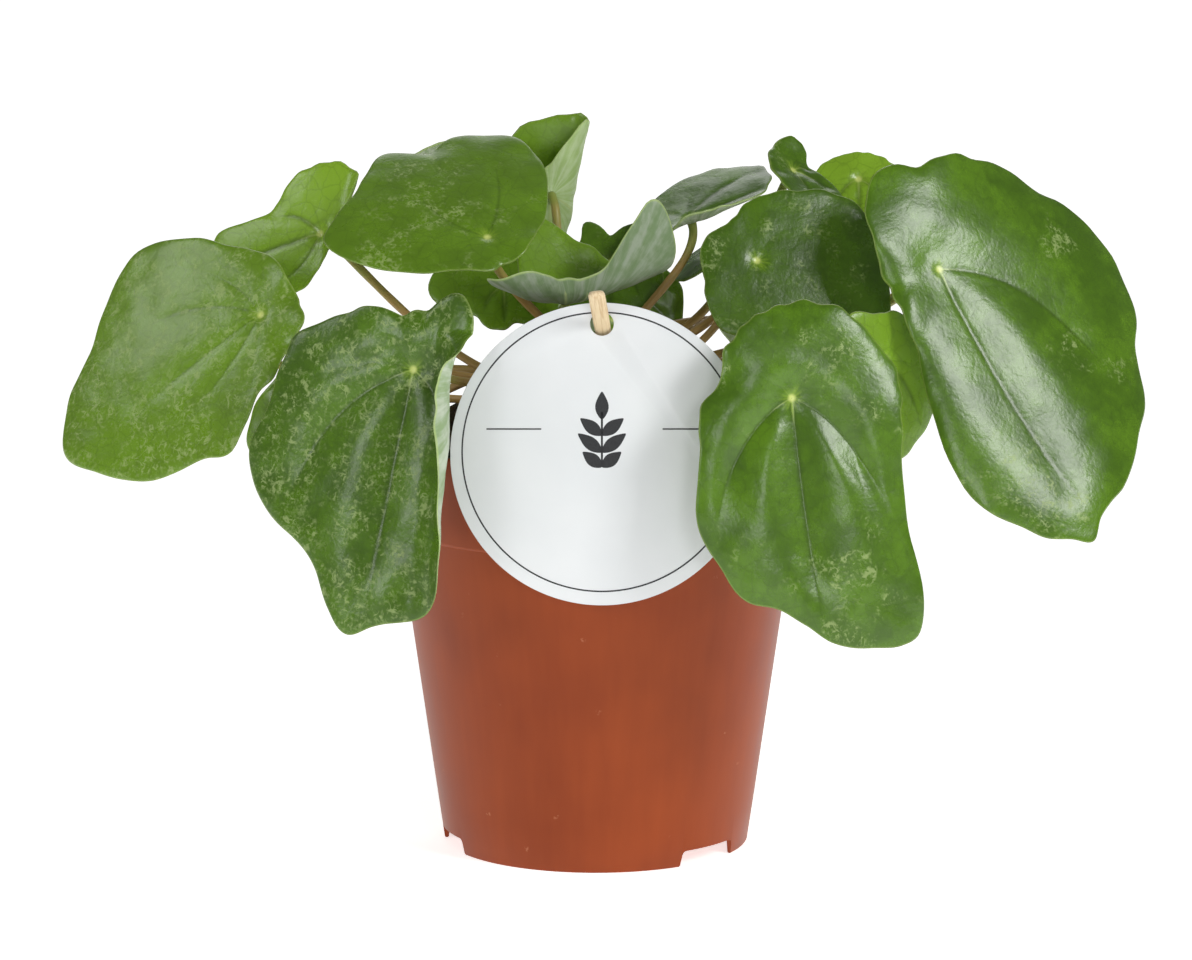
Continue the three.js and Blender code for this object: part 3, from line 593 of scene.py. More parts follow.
        "outline": rounded(27, 8),
        "node": 130.5, "rise": 12, "look": [0.1, 0.6, 0.25],
    },
    "leaf_back_left": {
        "eye": [-46, 60, 186], "faces": 122, "up": 46, "tip": -15, "dish": 4, "wave": [0.8, 4, 0],
        "outline": rounded(27, 8),
        "node": 138.5, "rise": 45, "aside": -16, "look": [0, 0.5, 0.2],
    },
    "leaf_back_low_left": {
        "eye": [-70, 58, 116], "faces": 130, "up": 18, "tip": 0, "dish": 3, "wave": [0.8, 4, 50],
        "outline": rounded(25, 8),
        "node": 128, "rise": 25, "spring": 0.5, "aside": -6, "look": [-0.2, 0.7, 0.3],
    },
    "leaf_back_low": {
        "eye": [2, 74.5, 128], "faces": 93, "up": 24, "tip": 10, "dish": 4, "wave": [0.9, 5, 0],
        "outline": rounded(29, 10),
        "node": 134.5, "rise": 22, "aside": 8, "look": [0, 0.8, 0.25],
    },
    "leaf_back_low_right": {
        "eye": [58, 64, 112], "faces": 52, "up": 16, "tip": 0, "dish": 3, "wave": [0.8, 5, 30],
        "outline": rounded(26, 9),
        "node": 129, "rise": 32, "spring": 0.5, "aside": 8, "look": [-0.1, 0.6, 0.3],
    },
    "leaf_back_right": {
        "eye": [60, 61, 151], "faces": 58, "up": 42, "tip": 10, "dish": 4, "wave": [0.9, 4, 60],
        "outline": rounded(29, 9),
        "node": 140.4, "rise": 22, "spring": 0.5, "aside": -6, "look": [0.05, 0.5, 0.2],
    },
    "leaf_back_high_right": {
        "eye": [112, 50, 172], "faces": 35, "up": 50, "tip": 0, "dish": 3, "wave": [0.8, 4, 0],
        "outline": rounded(24, 7),
        "node": 131, "rise": 12, "aside": 6, "look": [0.25, 0.3, 0.18],
    },
    "leaf_back_outer_right": {
        "eye": [104, 28, 140], "faces": 15, "up": 30, "tip": -10, "dish": 3, "wave": [0.8, 5, 0],
        "outline": rounded(27, 8),
        "node": 133.6, "rise": 14, "aside": -3, "look": [0, 0.6, 0.25],
    },
    "leaf_young_left": {
        "eye": [-12, -2, 149], "faces": 180, "up": 50, "tip": 0, "dish": 0.5, "wave": [0.2, 3, 0],
        "outline": rounded(4.5, 1),
        "node": 142, "rise": 60, "stalk": 0.9, "look": [0.7, 0.1, 0.05],
    },
    "leaf_young_right": {
        "eye": [5, -9, 151], "faces": -60, "up": 60, "tip": 0, "dish": 0.5, "wave": [0.2, 3, 0],
        "outline": rounded(5, 1),
        "node": 141, "rise": 60, "stalk": 0.9, "look": [0.6, 0.1, 0.05],
    },
}


def slopes(outline):
    """The rate at which the margin's distance changes at each outline point."""
    rates = []
    for step, (turn, _) in enumerate(outline):
        before, after = outline[step - 1], outline[(step + 1) % len(outline)]
        rates.append((after[1] - before[1]) / ((after[0] - before[0]) % 360))
    return rates


def reach_at(outline, degrees):
    """Distance from the eye to the margin, on a smooth closed curve through the outline."""
    rates = slopes(outline)
    reach = np.full(degrees.shape, float(outline[0][1]))
    for step, (turn, here) in enumerate(outline):
        following = (step + 1) % len(outline)
        width = (outline[following][0] - turn) % 360
        into = (degrees - turn) % 360
        t = into / width
        start = (1 + 2 * t) * (1 - t) ** 2 * here
        end = t * t * (3 - 2 * t) * outline[following][1]
        leave = t * (1 - t) ** 2 * width * rates[step]
        arrive = t * t * (t - 1) * width * rates[following]
        reach = np.where(into <= width, start + end + leave + arrive, reach)
    return reach


# Places along a roll, from the line through the eye, where its five amounts hold.
roll_stations = [-80, -40, -15, 2, 11]


def rolled(points, direction, start, radius, *most):
    """Rolls what lies past start round a cylinder across the blade, then lets it run straight."""
    c, s = math.cos(math.radians(direction)), math.sin(math.radians(direction))
    over = np.maximum(points[:, 0] * c + points[:, 1] * s - start, 0)
    beside = points[:, 1] * c - points[:, 0] * s
    limit = np.interp(beside, roll_stations, np.resize(most, len(roll_stations)))
    bend = np.minimum(over / abs(radius), np.radians(limit))
    rest = over - bend * abs(radius)
    side = math.copysign(1, radius)
    arm = abs(radius) + side * points[:, 2]
    along = arm * np.sin(bend) + rest * np.cos(bend) - over
    height = side * (arm * np.cos(bend) - abs(radius) - rest * np.sin(bend))
    return np.stack([points[:, 0] + along * c, points[:, 1] + along * s, height], axis=1)


def leaf_frame(leaf):
    """Turns blade coordinates (tip, side, upwards) into the plant's."""
    a, e, t = (math.radians(leaf[key]) for key in ("faces", "up", "tip"))
    normal = Vector((math.cos(e) * math.cos(a), math.cos(e) * math.sin(a), math.sin(e)))
    downhill = Vector((math.sin(e) * math.cos(a), math.sin(e) * math.sin(a), -math.cos(e)))
    tip = Matrix.Rotation(t, 3, normal) @ downhill
    turned = Matrix((tip, normal.cross(tip), normal)).transposed().to_4x4()
    return Matrix.Translation(leaf["eye"]) @ turned


def placed(points, place):
    """Points of a blade or stalk in its leaf's frame, moved to the plant's."""
    spin, move = np.array(place.to_3x3()), np.array(place.translation)
    return points @ spin.T + move


def keep(piece, name, values):
    """Stores three numbers at each point for the leaf's materials."""
    layer = piece.data.attributes.new(name, "FLOAT_VECTOR", "POINT")
    layer.data.foreach_set("vector", np.ascontiguousarray(values, dtype=float).ravel())


# Directions and depths of the veins of a blade that shows no special ones: a midrib, a strong pair
# that arches towards the tip, and weaker ones behind the eye.
usual_veins = [[0, 1], [32, 0.35], [64, 0.9], [100, 0.5], [142, 0.4], [180, 0.3], [-142, 0.4],
               [-100, 0.5], [-64, 0.9], [-32, 0.35]]


def make_blade(name, leaf, seed):
    """The blade as a closed skin, with columns of faces that follow its veins."""
    veins = sorted(leaf.get("veins", usual_veins), key=lambda vein: vein[0] % 360)
    starts = [vein[0] % 360 for vein in veins]
    axis, bend = leaf.get("axis", 0), leaf.get("bend", 38)
    outline = leaf["outline"]
    size = sum(point[1] for point in outline) / len(outline)
    widest = max(point[1] for point in outline)
    # columns of faces from one vein to the next, and rings from the eye over the margin and back
    apart, rings = (24, 112) if widest > 40 else (14, 72) if widest > 12 else (6, 32)
    segments = apart * len(veins)
    height, number, phase = leaf["wave"]
    tone, fleck_share, pucker = leaf["look"]
    fold = leaf.get("fold", 0.03) * size
    gutter = leaf.get("gutter", 0.09) * size + 1.5

    blade, turn, fall = ball(name, segments, rings)
    upper = fall <= 0.5
    step = turn / (2 * math.pi) * len(veins)
    base = np.interp(step, range(len(veins) + 1), [*starts, starts[0] + 360])
    share = 1 - (1 - np.where(upper, 2 * fall, 2 - 2 * fall)) ** 1.3
    lean = np.radians(base - axis)
    degrees = base - bend * share * np.sin(lean)
    spread = 1 - math.radians(bend) * share * np.cos(lean)
    crinkle = hills(40 * np.cos(np.radians(degrees)), 40 * np.sin(np.radians(degrees)), 13, seed + 3)
    margin = reach_at(outline, degrees) * (1 + 0.015 * crinkle)
    reach = margin * share
    x, y = reach * np.cos(np.radians(degrees)), reach * np.sin(np.radians(degrees))
    # each vein lies in a sharp groove at the bottom of a wide trough, and the skin bulges between
    nearest, groove, trough = np.full(x.shape, 99.0), 0, 0
    for start, (_, depth) in zip(starts, veins):
        off = np.radians(np.abs((base - start + 180) % 360 - 180))
        distance = reach * np.sin(np.minimum(off, 1.5)) * spread
        ends = np.clip((0.3 + 0.7 * depth - share) / 0.3, 0, 1)
        nearest = np.minimum(nearest, distance + 1.6 * (1 - depth * ends))
        groove = groove + depth**2 * ends * np.exp(-((distance / groove_width) ** 2))
        trough = trough + (depth * ends * np.exp(-((distance / gutter) ** 1.5))) ** 4
    fade = np.clip((reach - 1.5) / 5, 0, 1)
    folds = fold * (0.45 - trough ** (1 / 4)) * (1 - share**5)
    grooves = groove_depth * groove * fade * (1 - 0.7 * share)
    puckers = hills(x, y, 0.15 * size + 4, seed) * fade + 0.25 * hills(x, y, 4.2, seed + 1)
    flutter = 0.15 * hills(x, y, 11, seed + 2) * share**4
    dimple = eye_dimple * np.exp(-((reach / dimple_radius) ** 2))
    # the pit at the eye, where all the troughs meet, is filled
    filling = 0.55 * fold * np.exp(-((reach / 3) ** 2))
    relief = folds - grooves + 0.45 * pucker * puckers + flutter - (dimple - filling)
    flecks = np.full(x.shape, fleck_share)
    for spot_x, spot_y, radius, gain in leaf.get("spots", []):
        flecks += gain * np.exp(-(((x - spot_x) ** 2 + (y - spot_y) ** 2) / radius**2))
    way, ridge, droop = leaf.get("arch", (0, 0, 0))
    over = x * math.cos(math.radians(way)) + y * math.sin(math.radians(way)) - ridge
    sag = leaf["dish"] * (reach / size) ** 2 + droop * (over**2 - ridge**2) / size**2
    ripple = height * share**3 * np.cos(number * np.radians(degrees) + math.radians(phase))
    half = blade_thickness / 2 * np.sqrt(np.clip(1 - share**26, 0, 1))
    side = np.where(upper, half, -half)
    keep(blade, "flat", np.stack([x, y, np.full(x.shape, pattern_step * seed)], axis=1))
    keep(blade, "lie", np.stack([nearest, margin - reach, reach], axis=1))
    points = np.stack([x, y, side + ripple - sag + relief], axis=1)
    for roll in leaf.get("rolls", []):
        points = rolled(points, *roll)
    shape(blade, placed(points, leaf_frame(leaf)))
    tones = np.where(upper, tone, leaf.get("under", tone))
    keep(blade, "look", np.stack([tones, flecks, 0 * x], axis=1))
    blade.data.materials.append(upper_skin)
    blade.data.materials.append(underside)
    for face in blade.data.polygons:
        face.material_index = int(max(fall[corner] for corner in face.vertices) > 0.5)
    return blade


def make_stalk(name, leaf, seed):
    """The stalk, from a swollen foot against the trunk, outwards and up to the eye."""
    eye = np.array(leaf["eye"], dtype=float)
    heading = math.atan2(eye[1], eye[0]) + math.radians(leaf.get("aside", 0))
    rise = math.radians(leaf.get("rise", 40))
    thick = leaf.get("stalk", stalk_radius)
    away = np.array([math.cos(heading), math.sin(heading), 0])
    outward = away * math.cos(rise) + np.array([0, 0, math.sin(rise)])
    foot = away * (trunk_radius + 0.3 + thick * math.sin(rise)) + np.array([0, 0, leaf["node"]])
    span = np.linalg.norm(eye - foot)
    normal = np.array(leaf_frame(leaf).col[2][:3])
    first = foot + outward * leaf.get("spring", 0.4) * span
    last = eye - normal * leaf.get("neck", 0.3) * span
    foot, eye = foot - outward * 0.9, eye - normal * (eye_dimple * (thick / stalk_radius) + 0.1)

    stalk, turn, fall = ball(name + "_stalk", 16, 64)
    t = (1 - fall)[:, None]
    middle = (1 - t) ** 3 * foot + 3 * t * (1 - t) ** 2 * first + 3 * t * t * (1 - t) * last + t**3 * eye
    heads = 3 * (1 - t) ** 2 * (first - foot) + 6 * t * (1 - t) * (last - first) + 3 * t * t * (eye - last)
    heads /= np.linalg.norm(heads, axis=1)[:, None]
    across = np.cross(heads, away * math.sin(0.4) + np.array([0.2, -0.3, 0.9]))
    across /= np.linalg.norm(across, axis=1)[:, None]
    third = np.cross(heads, across)
    along = t[:, 0] * span
    ends = np.sqrt(np.clip(1 - np.abs(2 * fall - 1) ** (4 * span / thick), 0, 1))
    swell = 1 + 0.3 * np.exp(-(((along - 1) / 3) ** 2)) + 0.18 * np.exp(-(((span - along) / 2.5) ** 2))
    uneven = 1 + 0.035 * np.sin(along / 2.3 + seed) + 0.03 * np.cos(2 * turn + along / 9)
    radius = (thick - 0.05) * ends * swell * uneven
    offset = np.full(along.shape, pattern_step * seed)
    keep(stalk, "flat", np.stack([along, thick * turn, offset], axis=1))
    keep(stalk, "lie", t * (1, 0, 0))
    sideways = (np.cos(turn) * radius)[:, None] * across + (np.sin(turn) * radius)[:, None] * third
    shape(stalk, middle + sideways)
    stalk.data.materials.append(petiole)
    return stalk


def stored(material):
    """What keep left at each point. flat is its place on the leaf laid flat. lie is how far it is
    from a vein, the margin and the eye, or along the stalk. look is its tone and its flecks."""
    flat, lie, look = (add(material, "Attribute", {"attribute_name": name}, {}).outputs["Vector"]
                       for name in ("flat", "lie", "look"))
    lie, look = (add(material, "SeparateXYZ", {}, {"Vector": layer}).outputs for layer in (lie, look))
    return flat, lie, look


# Upper skin: waxed, so it is satin and mirrors the lamps in soft patches. Mid green with darker
# fields, painted shade along the main veins, a pale star at the eye, a thin pale margin, and pale
# squiggled flecks in clusters.
upper_skin, shader = surface("waxed_leaf_upper_skin")
flat, lie, look = stored(upper_skin)
fields = add(upper_skin, "TexNoise", {}, {"Vector": flat, "Scale": 1 / 14, "Detail": 3, "Roughness": 0.55})
mottle = add(upper_skin, "TexNoise", {}, {"Vector": flat, "Scale": 1 / 2.6, "Detail": 4, "Roughness": 0.6})
pores = add(upper_skin, "TexNoise", {}, {"Vector": flat, "Scale": 1 / 1.0, "Detail": 2})
mixed = add(upper_skin, "Math", times_plus, {0: mottle, 1: 0.4, 2: fields})
shade = add(upper_skin, "MapRange", eased, {"Value": mixed, "From Min": 0.5, "From Max": 0.92})
# the lime share is partly the leaf's own tone and partly painted light: a raised tone lifts leaves that lie
# in shade
lime_and_painted_light_share = add(upper_skin, "Math", {"operation": "MAXIMUM"}, {0: look["X"], 1: 0.0})
dark_share = add(upper_skin, "Math", {"operation": "MULTIPLY", "use_clamp": True}, {0: look["X"], 1: -1.0})

# the fine net of side veins, in meshes of about 5 mm, each line a little darker than the skin
net_bend = add(upper_skin, "VectorMath", times_plus,
               {0: mottle.outputs["Color"], 1: (1.8, 1.8, 0), 2: flat})
net = add(upper_skin, "TexVoronoi", {"feature": "DISTANCE_TO_EDGE"}, {"Vector": net_bend, "Scale": 1 / 4.6})
net_line = add(upper_skin, "MapRange", eased,
               {"Value": net, "From Min": 0.06, "From Max": 0.0, "To Max": 0.2})

# main veins: painted shade that darkens the groove along each vein, with a pale core that fades
# within 9 mm of the eye
painted_vein_shade = add(upper_skin, "MapRange", eased,
             {"Value": lie["X"], "From Min": 1.5, "From Max": 0.0, "To Max": 0.5})
core = add(upper_skin, "MapRange", eased, {"Value": lie["X"], "From Min": 0.5, "From Max": 0.1})
core_fade = add(upper_skin, "MapRange", eased,
                {"Value": lie["Z"], "From Min": 9, "From Max": 2, "To Min": 0.0, "To Max": 0.7})
pale_line = add(upper_skin, "Math", times, {0: core, 1: core_fade})

# flecks: broken branching squiggles about half a millimetre wide, gathered in clusters
squiggle = add(upper_skin, "TexNoise", {},
               {"Vector": flat, "Scale": 1 / 4.4, "Detail": 4, "Distortion": 0.6})
branch = add(upper_skin, "TexNoise", {},
             {"Vector": flat, "Scale": 1 / 2.9, "Detail": 4, "Distortion": 0.5})
line_off = add(upper_skin, "Math", {"operation": "SUBTRACT"}, {0: squiggle, 1: 0.5})
branch_off = add(upper_skin, "Math", {"operation": "SUBTRACT"}, {0: branch, 1: 0.46})
line_abs = add(upper_skin, "Math", {"operation": "ABSOLUTE"}, {0: line_off})
branch_abs = add(upper_skin, "Math", {"operation": "ABSOLUTE"}, {0: branch_off})
closest = add(upper_skin, "Math", {"operation": "MINIMUM"}, {0: line_abs, 1: branch_abs})
line = add(upper_skin, "MapRange", eased, {"Value": closest, "From Min": 0.042, "From Max": 0.01})
breaks = add(upper_skin, "TexNoise", {}, {"Vector": flat, "Scale": 1 / 2.4, "Detail": 3})
broken = add(upper_skin, "MapRange", eased, {"Value": breaks, "From Min": 0.47, "From Max": 0.6})
clusters = add(upper_skin, "TexNoise", {}, {"Vector": flat, "Scale": 1 / 8, "Detail": 3, "Roughness": 0.6})
cluster_level = add(upper_skin, "Math", times_plus, {0: look["Y"], 1: 0.3, 2: clusters})
gathered = add(upper_skin, "MapRange", eased, {"Value": cluster_level, "From Min": 0.72, "From Max": 0.86})
dots = add(upper_skin, "TexVoronoi", {"feature": "F1"}, {"Vector": flat, "Scale": 1 / 3.4})
dot = add(upper_skin, "MapRange", eased, {"Value": dots, "From Min": 0.13, "From Max": 0.06, "To Max": 0.7})
powder = add(upper_skin, "MapRange", eased,
             {"Value": pores, "From Min": 0.5, "From Max": 0.72, "To Max": 0.5})
marks = add(upper_skin, "Math", times, {0: line, 1: broken})
loose = add(upper_skin, "Math", {"operation": "MAXIMUM"}, {0: dot, 1: powder})
both = add(upper_skin, "Math", {"operation": "MAXIMUM"}, {0: marks, 1: loose})
flecked = add(upper_skin, "Math", times, {0: both, 1: gathered})
fleck_share = add(upper_skin, "Math", times, {0: flecked, 1: 0.52})

# eye: a pale heart with a yellow-green halo that runs out in short rays
away = add(upper_skin, "VectorMath", times, {0: flat, 1: (1, 1, 0)})
ray_way = add(upper_skin, "VectorMath", {"operation": "NORMALIZE"}, {0: away})
rays = add(upper_skin, "TexNoise", {}, {"Vector": ray_way, "Scale": 3.2, "Detail": 2})
ray_reach = add(upper_skin, "Math", times_plus, {0: rays, 1: -7.5, 2: lie["Z"]})
halo = add(upper_skin, "MapRange", eased,
           {"Value": ray_reach, "From Min": 0.0, "From Max": -3.6, "To Max": 0.5})
heart = add(upper_skin, "MapRange", eased,
            {"Value": lie["Z"], "From Min": 1.5, "From Max": 0.4, "To Max": 0.9})
rim = add(upper_skin, "MapRange", eased,
          {"Value": lie["Y"], "From Min": 0.5, "From Max": 0.15, "To Max": 0.5})

# each colour lies over those before it by its share
colour = linear("#41620C")
for share, over in ((shade, "#577D16"), (lime_and_painted_light_share, "#86AE2A"), (dark_share, "#2B4209"),
                    (net_line, "#324C0B"), (painted_vein_shade, "#2B4208"), (pale_line, "#9CB35C"),
                    (fleck_share, "#A9BC78"), (halo, "#94B43A"), (heart, "#CFDB7C"), (rim, "#8FA552")):
    colour = add(upper_skin, "Mix", in_colour, {0: share, 6: colour, 7: linear(over)})

# relief in millimetres: soft puckers, pores, and dips along the net
net_dip = add(upper_skin, "MapRange", eased, {"Value": net, "From Max": 0.2, "To Max": 0.014})
low = add(upper_skin, "Math", times_plus, {0: mottle, 1: 0.05, 2: net_dip})
high = add(upper_skin, "Math", times_plus, {0: pores, 1: 0.05, 2: low})
relief = add(upper_skin, "Bump", {}, {"Height": high, "Strength": 1.0, "Distance": 1 * mm})
wax = add(upper_skin, "MapRange", {},
          {"Value": mixed, "From Min": 0.45, "From Max": 1.0, "To Min": 0.3, "To Max": 0.25})
rough = add(upper_skin, "Math", times_plus, {0: flecked, 1: 0.12, 2: wax})
wire(shader, {"Base Color": colour, "Roughness": rough, "Normal": relief, "IOR": 1.45,
              "Specular IOR Level": 0.55})

# Underside: no thick wax, so duller, with a silvery bloom in streaks along raised pale veins.
underside, shader = surface("bloomed_leaf_underside")
flat, lie, look = stored(underside)
away = add(underside, "VectorMath", times, {0: flat, 1: (1, 1, 0)})
facing = add(underside, "VectorMath", {"operation": "NORMALIZE"}, {0: away})
outwards = add(underside, "VectorMath", {"operation": "SCALE"}, {0: facing, "Scale": 7.0})
seeded = add(underside, "VectorMath", times_plus, {0: flat, 1: (0.05, 0.05, 1), 2: outwards})
streaks = add(underside, "TexNoise", {}, {"Vector": seeded, "Scale": 1.0, "Detail": 4, "Roughness": 0.6})
mottle = add(underside, "TexNoise", {}, {"Vector": flat, "Scale": 1 / 3.0, "Detail": 4})
mixed = add(underside, "Math", times_plus, {0: mottle, 1: 0.4, 2: streaks})
bloom = add(underside, "MapRange", eased, {"Value": mixed, "From Min": 0.55, "From Max": 0.9})
# as on the upper skin, the lime share is partly painted light that lifts leaves lying in shade
lime_and_painted_light_share = add(underside, "Math", {"operation": "MAXIMUM"}, {0: look["X"], 1: 0.0})
dark_share = add(underside, "Math", {"operation": "MULTIPLY", "use_clamp": True}, {0: look["X"], 1: -1.0})
vein = add(underside, "MapRange", eased,
           {"Value": lie["X"], "From Min": 0.6, "From Max": 0.15, "To Max": 0.7})
rim = add(underside, "MapRange", eased,
          {"Value": lie["Y"], "From Min": 0.9, "From Max": 0.3, "To Max": 0.7})
colour = linear("#94AD7C")
for share, over in ((bloom, "#CAD4BF"), (lime_and_painted_light_share, "#A9C76A"), (dark_share, "#3F5A33"),
                    (vein, "#B4C384"), (rim, "#A8BE72")):
    colour = add(underside, "Mix", in_colour, {0: share, 6: colour, 7: linear(over)})
net = add(underside, "TexVoronoi", {"feature": "DISTANCE_TO_EDGE"}, {"Vector": flat, "Scale": 1 / 3.2})
height = add(underside, "Math", times_plus, {0: net, 1: -0.8, 2: mixed})
relief = add(underside, "Bump", {}, {"Height": height, "Strength": 0.5, "Distance": 0.3 * mm})
wire(shader, {"Base Color": colour, "Normal": relief, "Roughness": 0.5, "IOR": 1.45})

# Stalk: smooth, juicy and faintly ribbed, bronze where it has seen the sun and green by the blade.
petiole, shader = surface("bronzed_leaf_stalk")
flat, lie, _ = stored(petiole)
spot = add(petiole, "TexCoord", {}, {}).outputs["Object"]
tones = add(petiole, "TexNoise", {}, {"Vector": spot, "Scale": 1 / (5 * mm), "Detail": 3})
long_way = add(petiole, "VectorMath", times, {0: flat, 1: (0.12, 2.4, 1)})
ribs = add(petiole, "TexNoise", {}, {"Vector": long_way, "Scale": 1.0, "Detail": 2})
green_way = add(petiole, "Math", times_plus, {0: tones, 1: 0.5, 2: lie["X"]})
greener = add(petiole, "Math", {"operation": "SUBTRACT"}, {0: green_way, 1: bronze_share})
ripe = add(petiole, "MapRange", eased, {"Value": greener, "From Min": 0.2, "From Max": 0.75})
bronze = add(petiole, "Mix", in_colour, {0: ribs, 6: linear("#9C7640"), 7: linear("#C6A466")})
greened = add(petiole, "Mix", in_colour, {0: ripe, 6: bronze, 7: linear("#8E9A48")})
relief = add(petiole, "Bump", {}, {"Height": ribs, "Strength": 0.4, "Distance": 0.15 * mm})
wire(shader, {"Base Color": greened, "Normal": relief, "Roughness": 0.42, "IOR": 1.45})

for number, (name, leaf) in enumerate(leaves.items()):
    blade = make_blade(name + "_grown", leaf, number + 1)
    stalk = make_stalk(name, leaf, number + 1)
    alone(blade)
    stalk.select_set(True)
    bpy.ops.object.join()
    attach(blade, "root")
    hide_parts(name)

# ---- Tag ---------------------------------------------------------------------------------------
# Round plant tag punched from white coated card, printed in black with a ring, two rules and a
# plain sprig. It leans on the rim of the pot and hangs on the stick by its hole.
tag_radius = 41
tag_thickness = 0.7
tag_lean = math.radians(5)
tag_centre_x = 1.6
tag_centre_z = 120.8
tag_hole_radius = 3.2
tag_hole_up = 35.3
ring_radius = 37.8
ring_line = 0.42
ring_up = 0.6
rule_out = 23.8
rule_up = 6.9
rule_length = 14.8
rule_width = 0.4
stem_up = 4.5
stem_length = 14
stem_width = 0.55
sprig_leaf_width = 4.2
ink_gap = 0.03

tag_centre_y = -rim_radius - 0.3 - tag_thickness / 2 + (tag_centre_z - pot_height) * math.tan(tag_lean)
tag_place = Matrix.Translation((tag_centre_x * mm, tag_centre_y * mm, tag_centre_z * mm))
tag_place = tag_place @ Matrix.Rotation(math.pi / 2 - tag_lean, 4, "X")


def put(piece, place):
    """Moves a piece to its place and leaves the place in its mesh."""
    piece.matrix_world = place @ piece.matrix_world
    alone(piece)
    bpy.ops.object.transform_apply()


bpy.ops.mesh.primitive_cylinder_add(vertices=256, radius=tag_radius * mm, depth=tag_thickness * mm)
tag = bpy.context.object
tag.name = "card_tag"
bpy.ops.mesh.primitive_cylinder_add(
    vertices=64, radius=tag_hole_radius * mm, depth=3 * mm, location=(0, tag_hole_up * mm, 0)
)
cut(tag, [bpy.context.object])
alone(tag)
edge = tag.modifiers.new("pressed edge", "BEVEL")
edge.width = 0.12 * mm
edge.segments = 2
edge.limit_method = "ANGLE"
edge.angle_limit = math.radians(50)
bpy.ops.object.modifier_apply(modifier=edge.name)
bpy.ops.object.shade_smooth_by_angle(angle=math.radians(35))
put(tag, tag_place)

# Coated card: white and slightly cool, satin from its clay coating, with a faint paper tooth.
card, shader = surface("clay_coated_card")
spot = add(card, "TexCoord", {}, {}).outputs["Object"]
tooth = add(card, "TexNoise", {}, {"Vector": spot, "Scale": 1 / (0.35 * mm), "Detail": 4})
cloud = add(card, "TexNoise", {}, {"Vector": spot, "Scale": 1 / (22 * mm), "Detail": 2})
white = add(card, "Mix", in_colour, {0: cloud, 6: linear("#DBDFE1"), 7: linear("#E9EBEC")})
relief = add(card, "Bump", {}, {"Height": tooth, "Strength": 0.25, "Distance": 0.04 * mm})
wire(shader, {"Base Color": white, "Normal": relief, "Roughness": 0.5})
tag.data.materials.append(card)

# The print: a film of ink that lies a few hundredths of a millimetre above the card's face.
ring_inside = ring_radius - ring_line / 2
bpy.ops.mesh.primitive_circle_add(vertices=192, radius=ring_inside * mm, fill_type="NOTHING")
ring = bpy.context.object
bpy.ops.object.mode_set(mode="EDIT")
bpy.ops.mesh.select_all(action="SELECT")
bpy.ops.mesh.extrude_region_move()
bpy.ops.transform.resize(value=(1 + ring_line / ring_inside,) * 2 + (1,))
bpy.ops.object.mode_set(mode="OBJECT")
ring.location.y = ring_up * mm
prints = [ring]


def printed_bar(x, y, length, width):
    """A straight printed rule."""
    bpy.ops.mesh.primitive_plane_add(size=1, location=(x * mm, y * mm, 0))
    bar = bpy.context.object
    bar.scale = (length * mm, width * mm, 1)
    prints.append(bar)


def printed_leaf(x, y, turn, length, width):
    """A pointed leaf of the sprig, with its foot at x, y."""
    bpy.ops.mesh.primitive_circle_add(vertices=32, radius=1, fill_type="NGON")
    leaf = bpy.context.object
    for point in leaf.data.vertices:
        along = (point.co.x + 1) / 2
        point.co.y *= 0.5 * width * mm * (0.55 + 0.45 * math.sin(math.pi * along)) * (1 - 0.35 * along)
        point.co.x = along * length * mm
    leaf.rotation_euler.z = math.radians(turn)
    leaf.location = (x * mm, y * mm, 0)
    prints.append(leaf)


for side in (-1, 1):
    printed_bar(side * rule_out, rule_up, rule_length, rule_width)
printed_bar(0, stem_up, stem_width, stem_length)
printed_leaf(0, 9.5, 90, 7.5, 4.4)
for foot, length in ((5.2, 7.4), (0.6, 8.2), (-3.4, 6.6)):
    for turn in (38, 142):
        printed_leaf(0, foot, turn, length, sprig_leaf_width)

alone(ring)
for plate in prints:
    plate.select_set(True)
bpy.ops.object.join()
ring.name = "tag_print"
bpy.ops.object.transform_apply()
ring.location.z = (tag_thickness / 2 + ink_gap) * mm
bpy.ops.object.transform_apply()
put(ring, tag_place)

# Black offset ink: matt, and not quite black.
ink, shader = surface("black_offset_ink")
spot = add(ink, "TexCoord", {}, {}).outputs["Object"]
patchy = add(ink, "TexNoise", {}, {"Vector": spot, "Scale": 1 / (0.6 * mm), "Detail": 3})
black = add(ink, "Mix", in_colour, {0: patchy, 6: linear("#141517"), 7: linear("#2C2E31")})
wire(shader, {"Base Color": black, "Roughness": 0.55})
ring.data.materials.append(ink)
for piece in (tag, ring):
    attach(piece, "root")
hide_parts("tag")

# ---- Stick -------------------------------------------------------------------------------------
# Flat birch stick with a rounded top and a tapered foot, cut and tumbled smooth. It is pushed into
# the soil through the hole of the tag, which hangs on it.
stick_width = 4.8
stick_depth = 2.4
stick_fit = 0.93
stick_above_hole = 14.5
stick_foot = Vector((10, -4, 104))

lean = Matrix.Translation((tag_centre_x, tag_centre_y, tag_centre_z)) @ Matrix.Rotation(-tag_lean, 4, "X")
hole = lean @ Vector((0, 0, tag_hole_up))
stick_axis = hole - stick_foot
stick_length = stick_axis.length + stick_above_hole
stick_spin = Vector((0, 0, 1)).rotation_difference(stick_axis.normalized()).to_matrix().to_4x4()

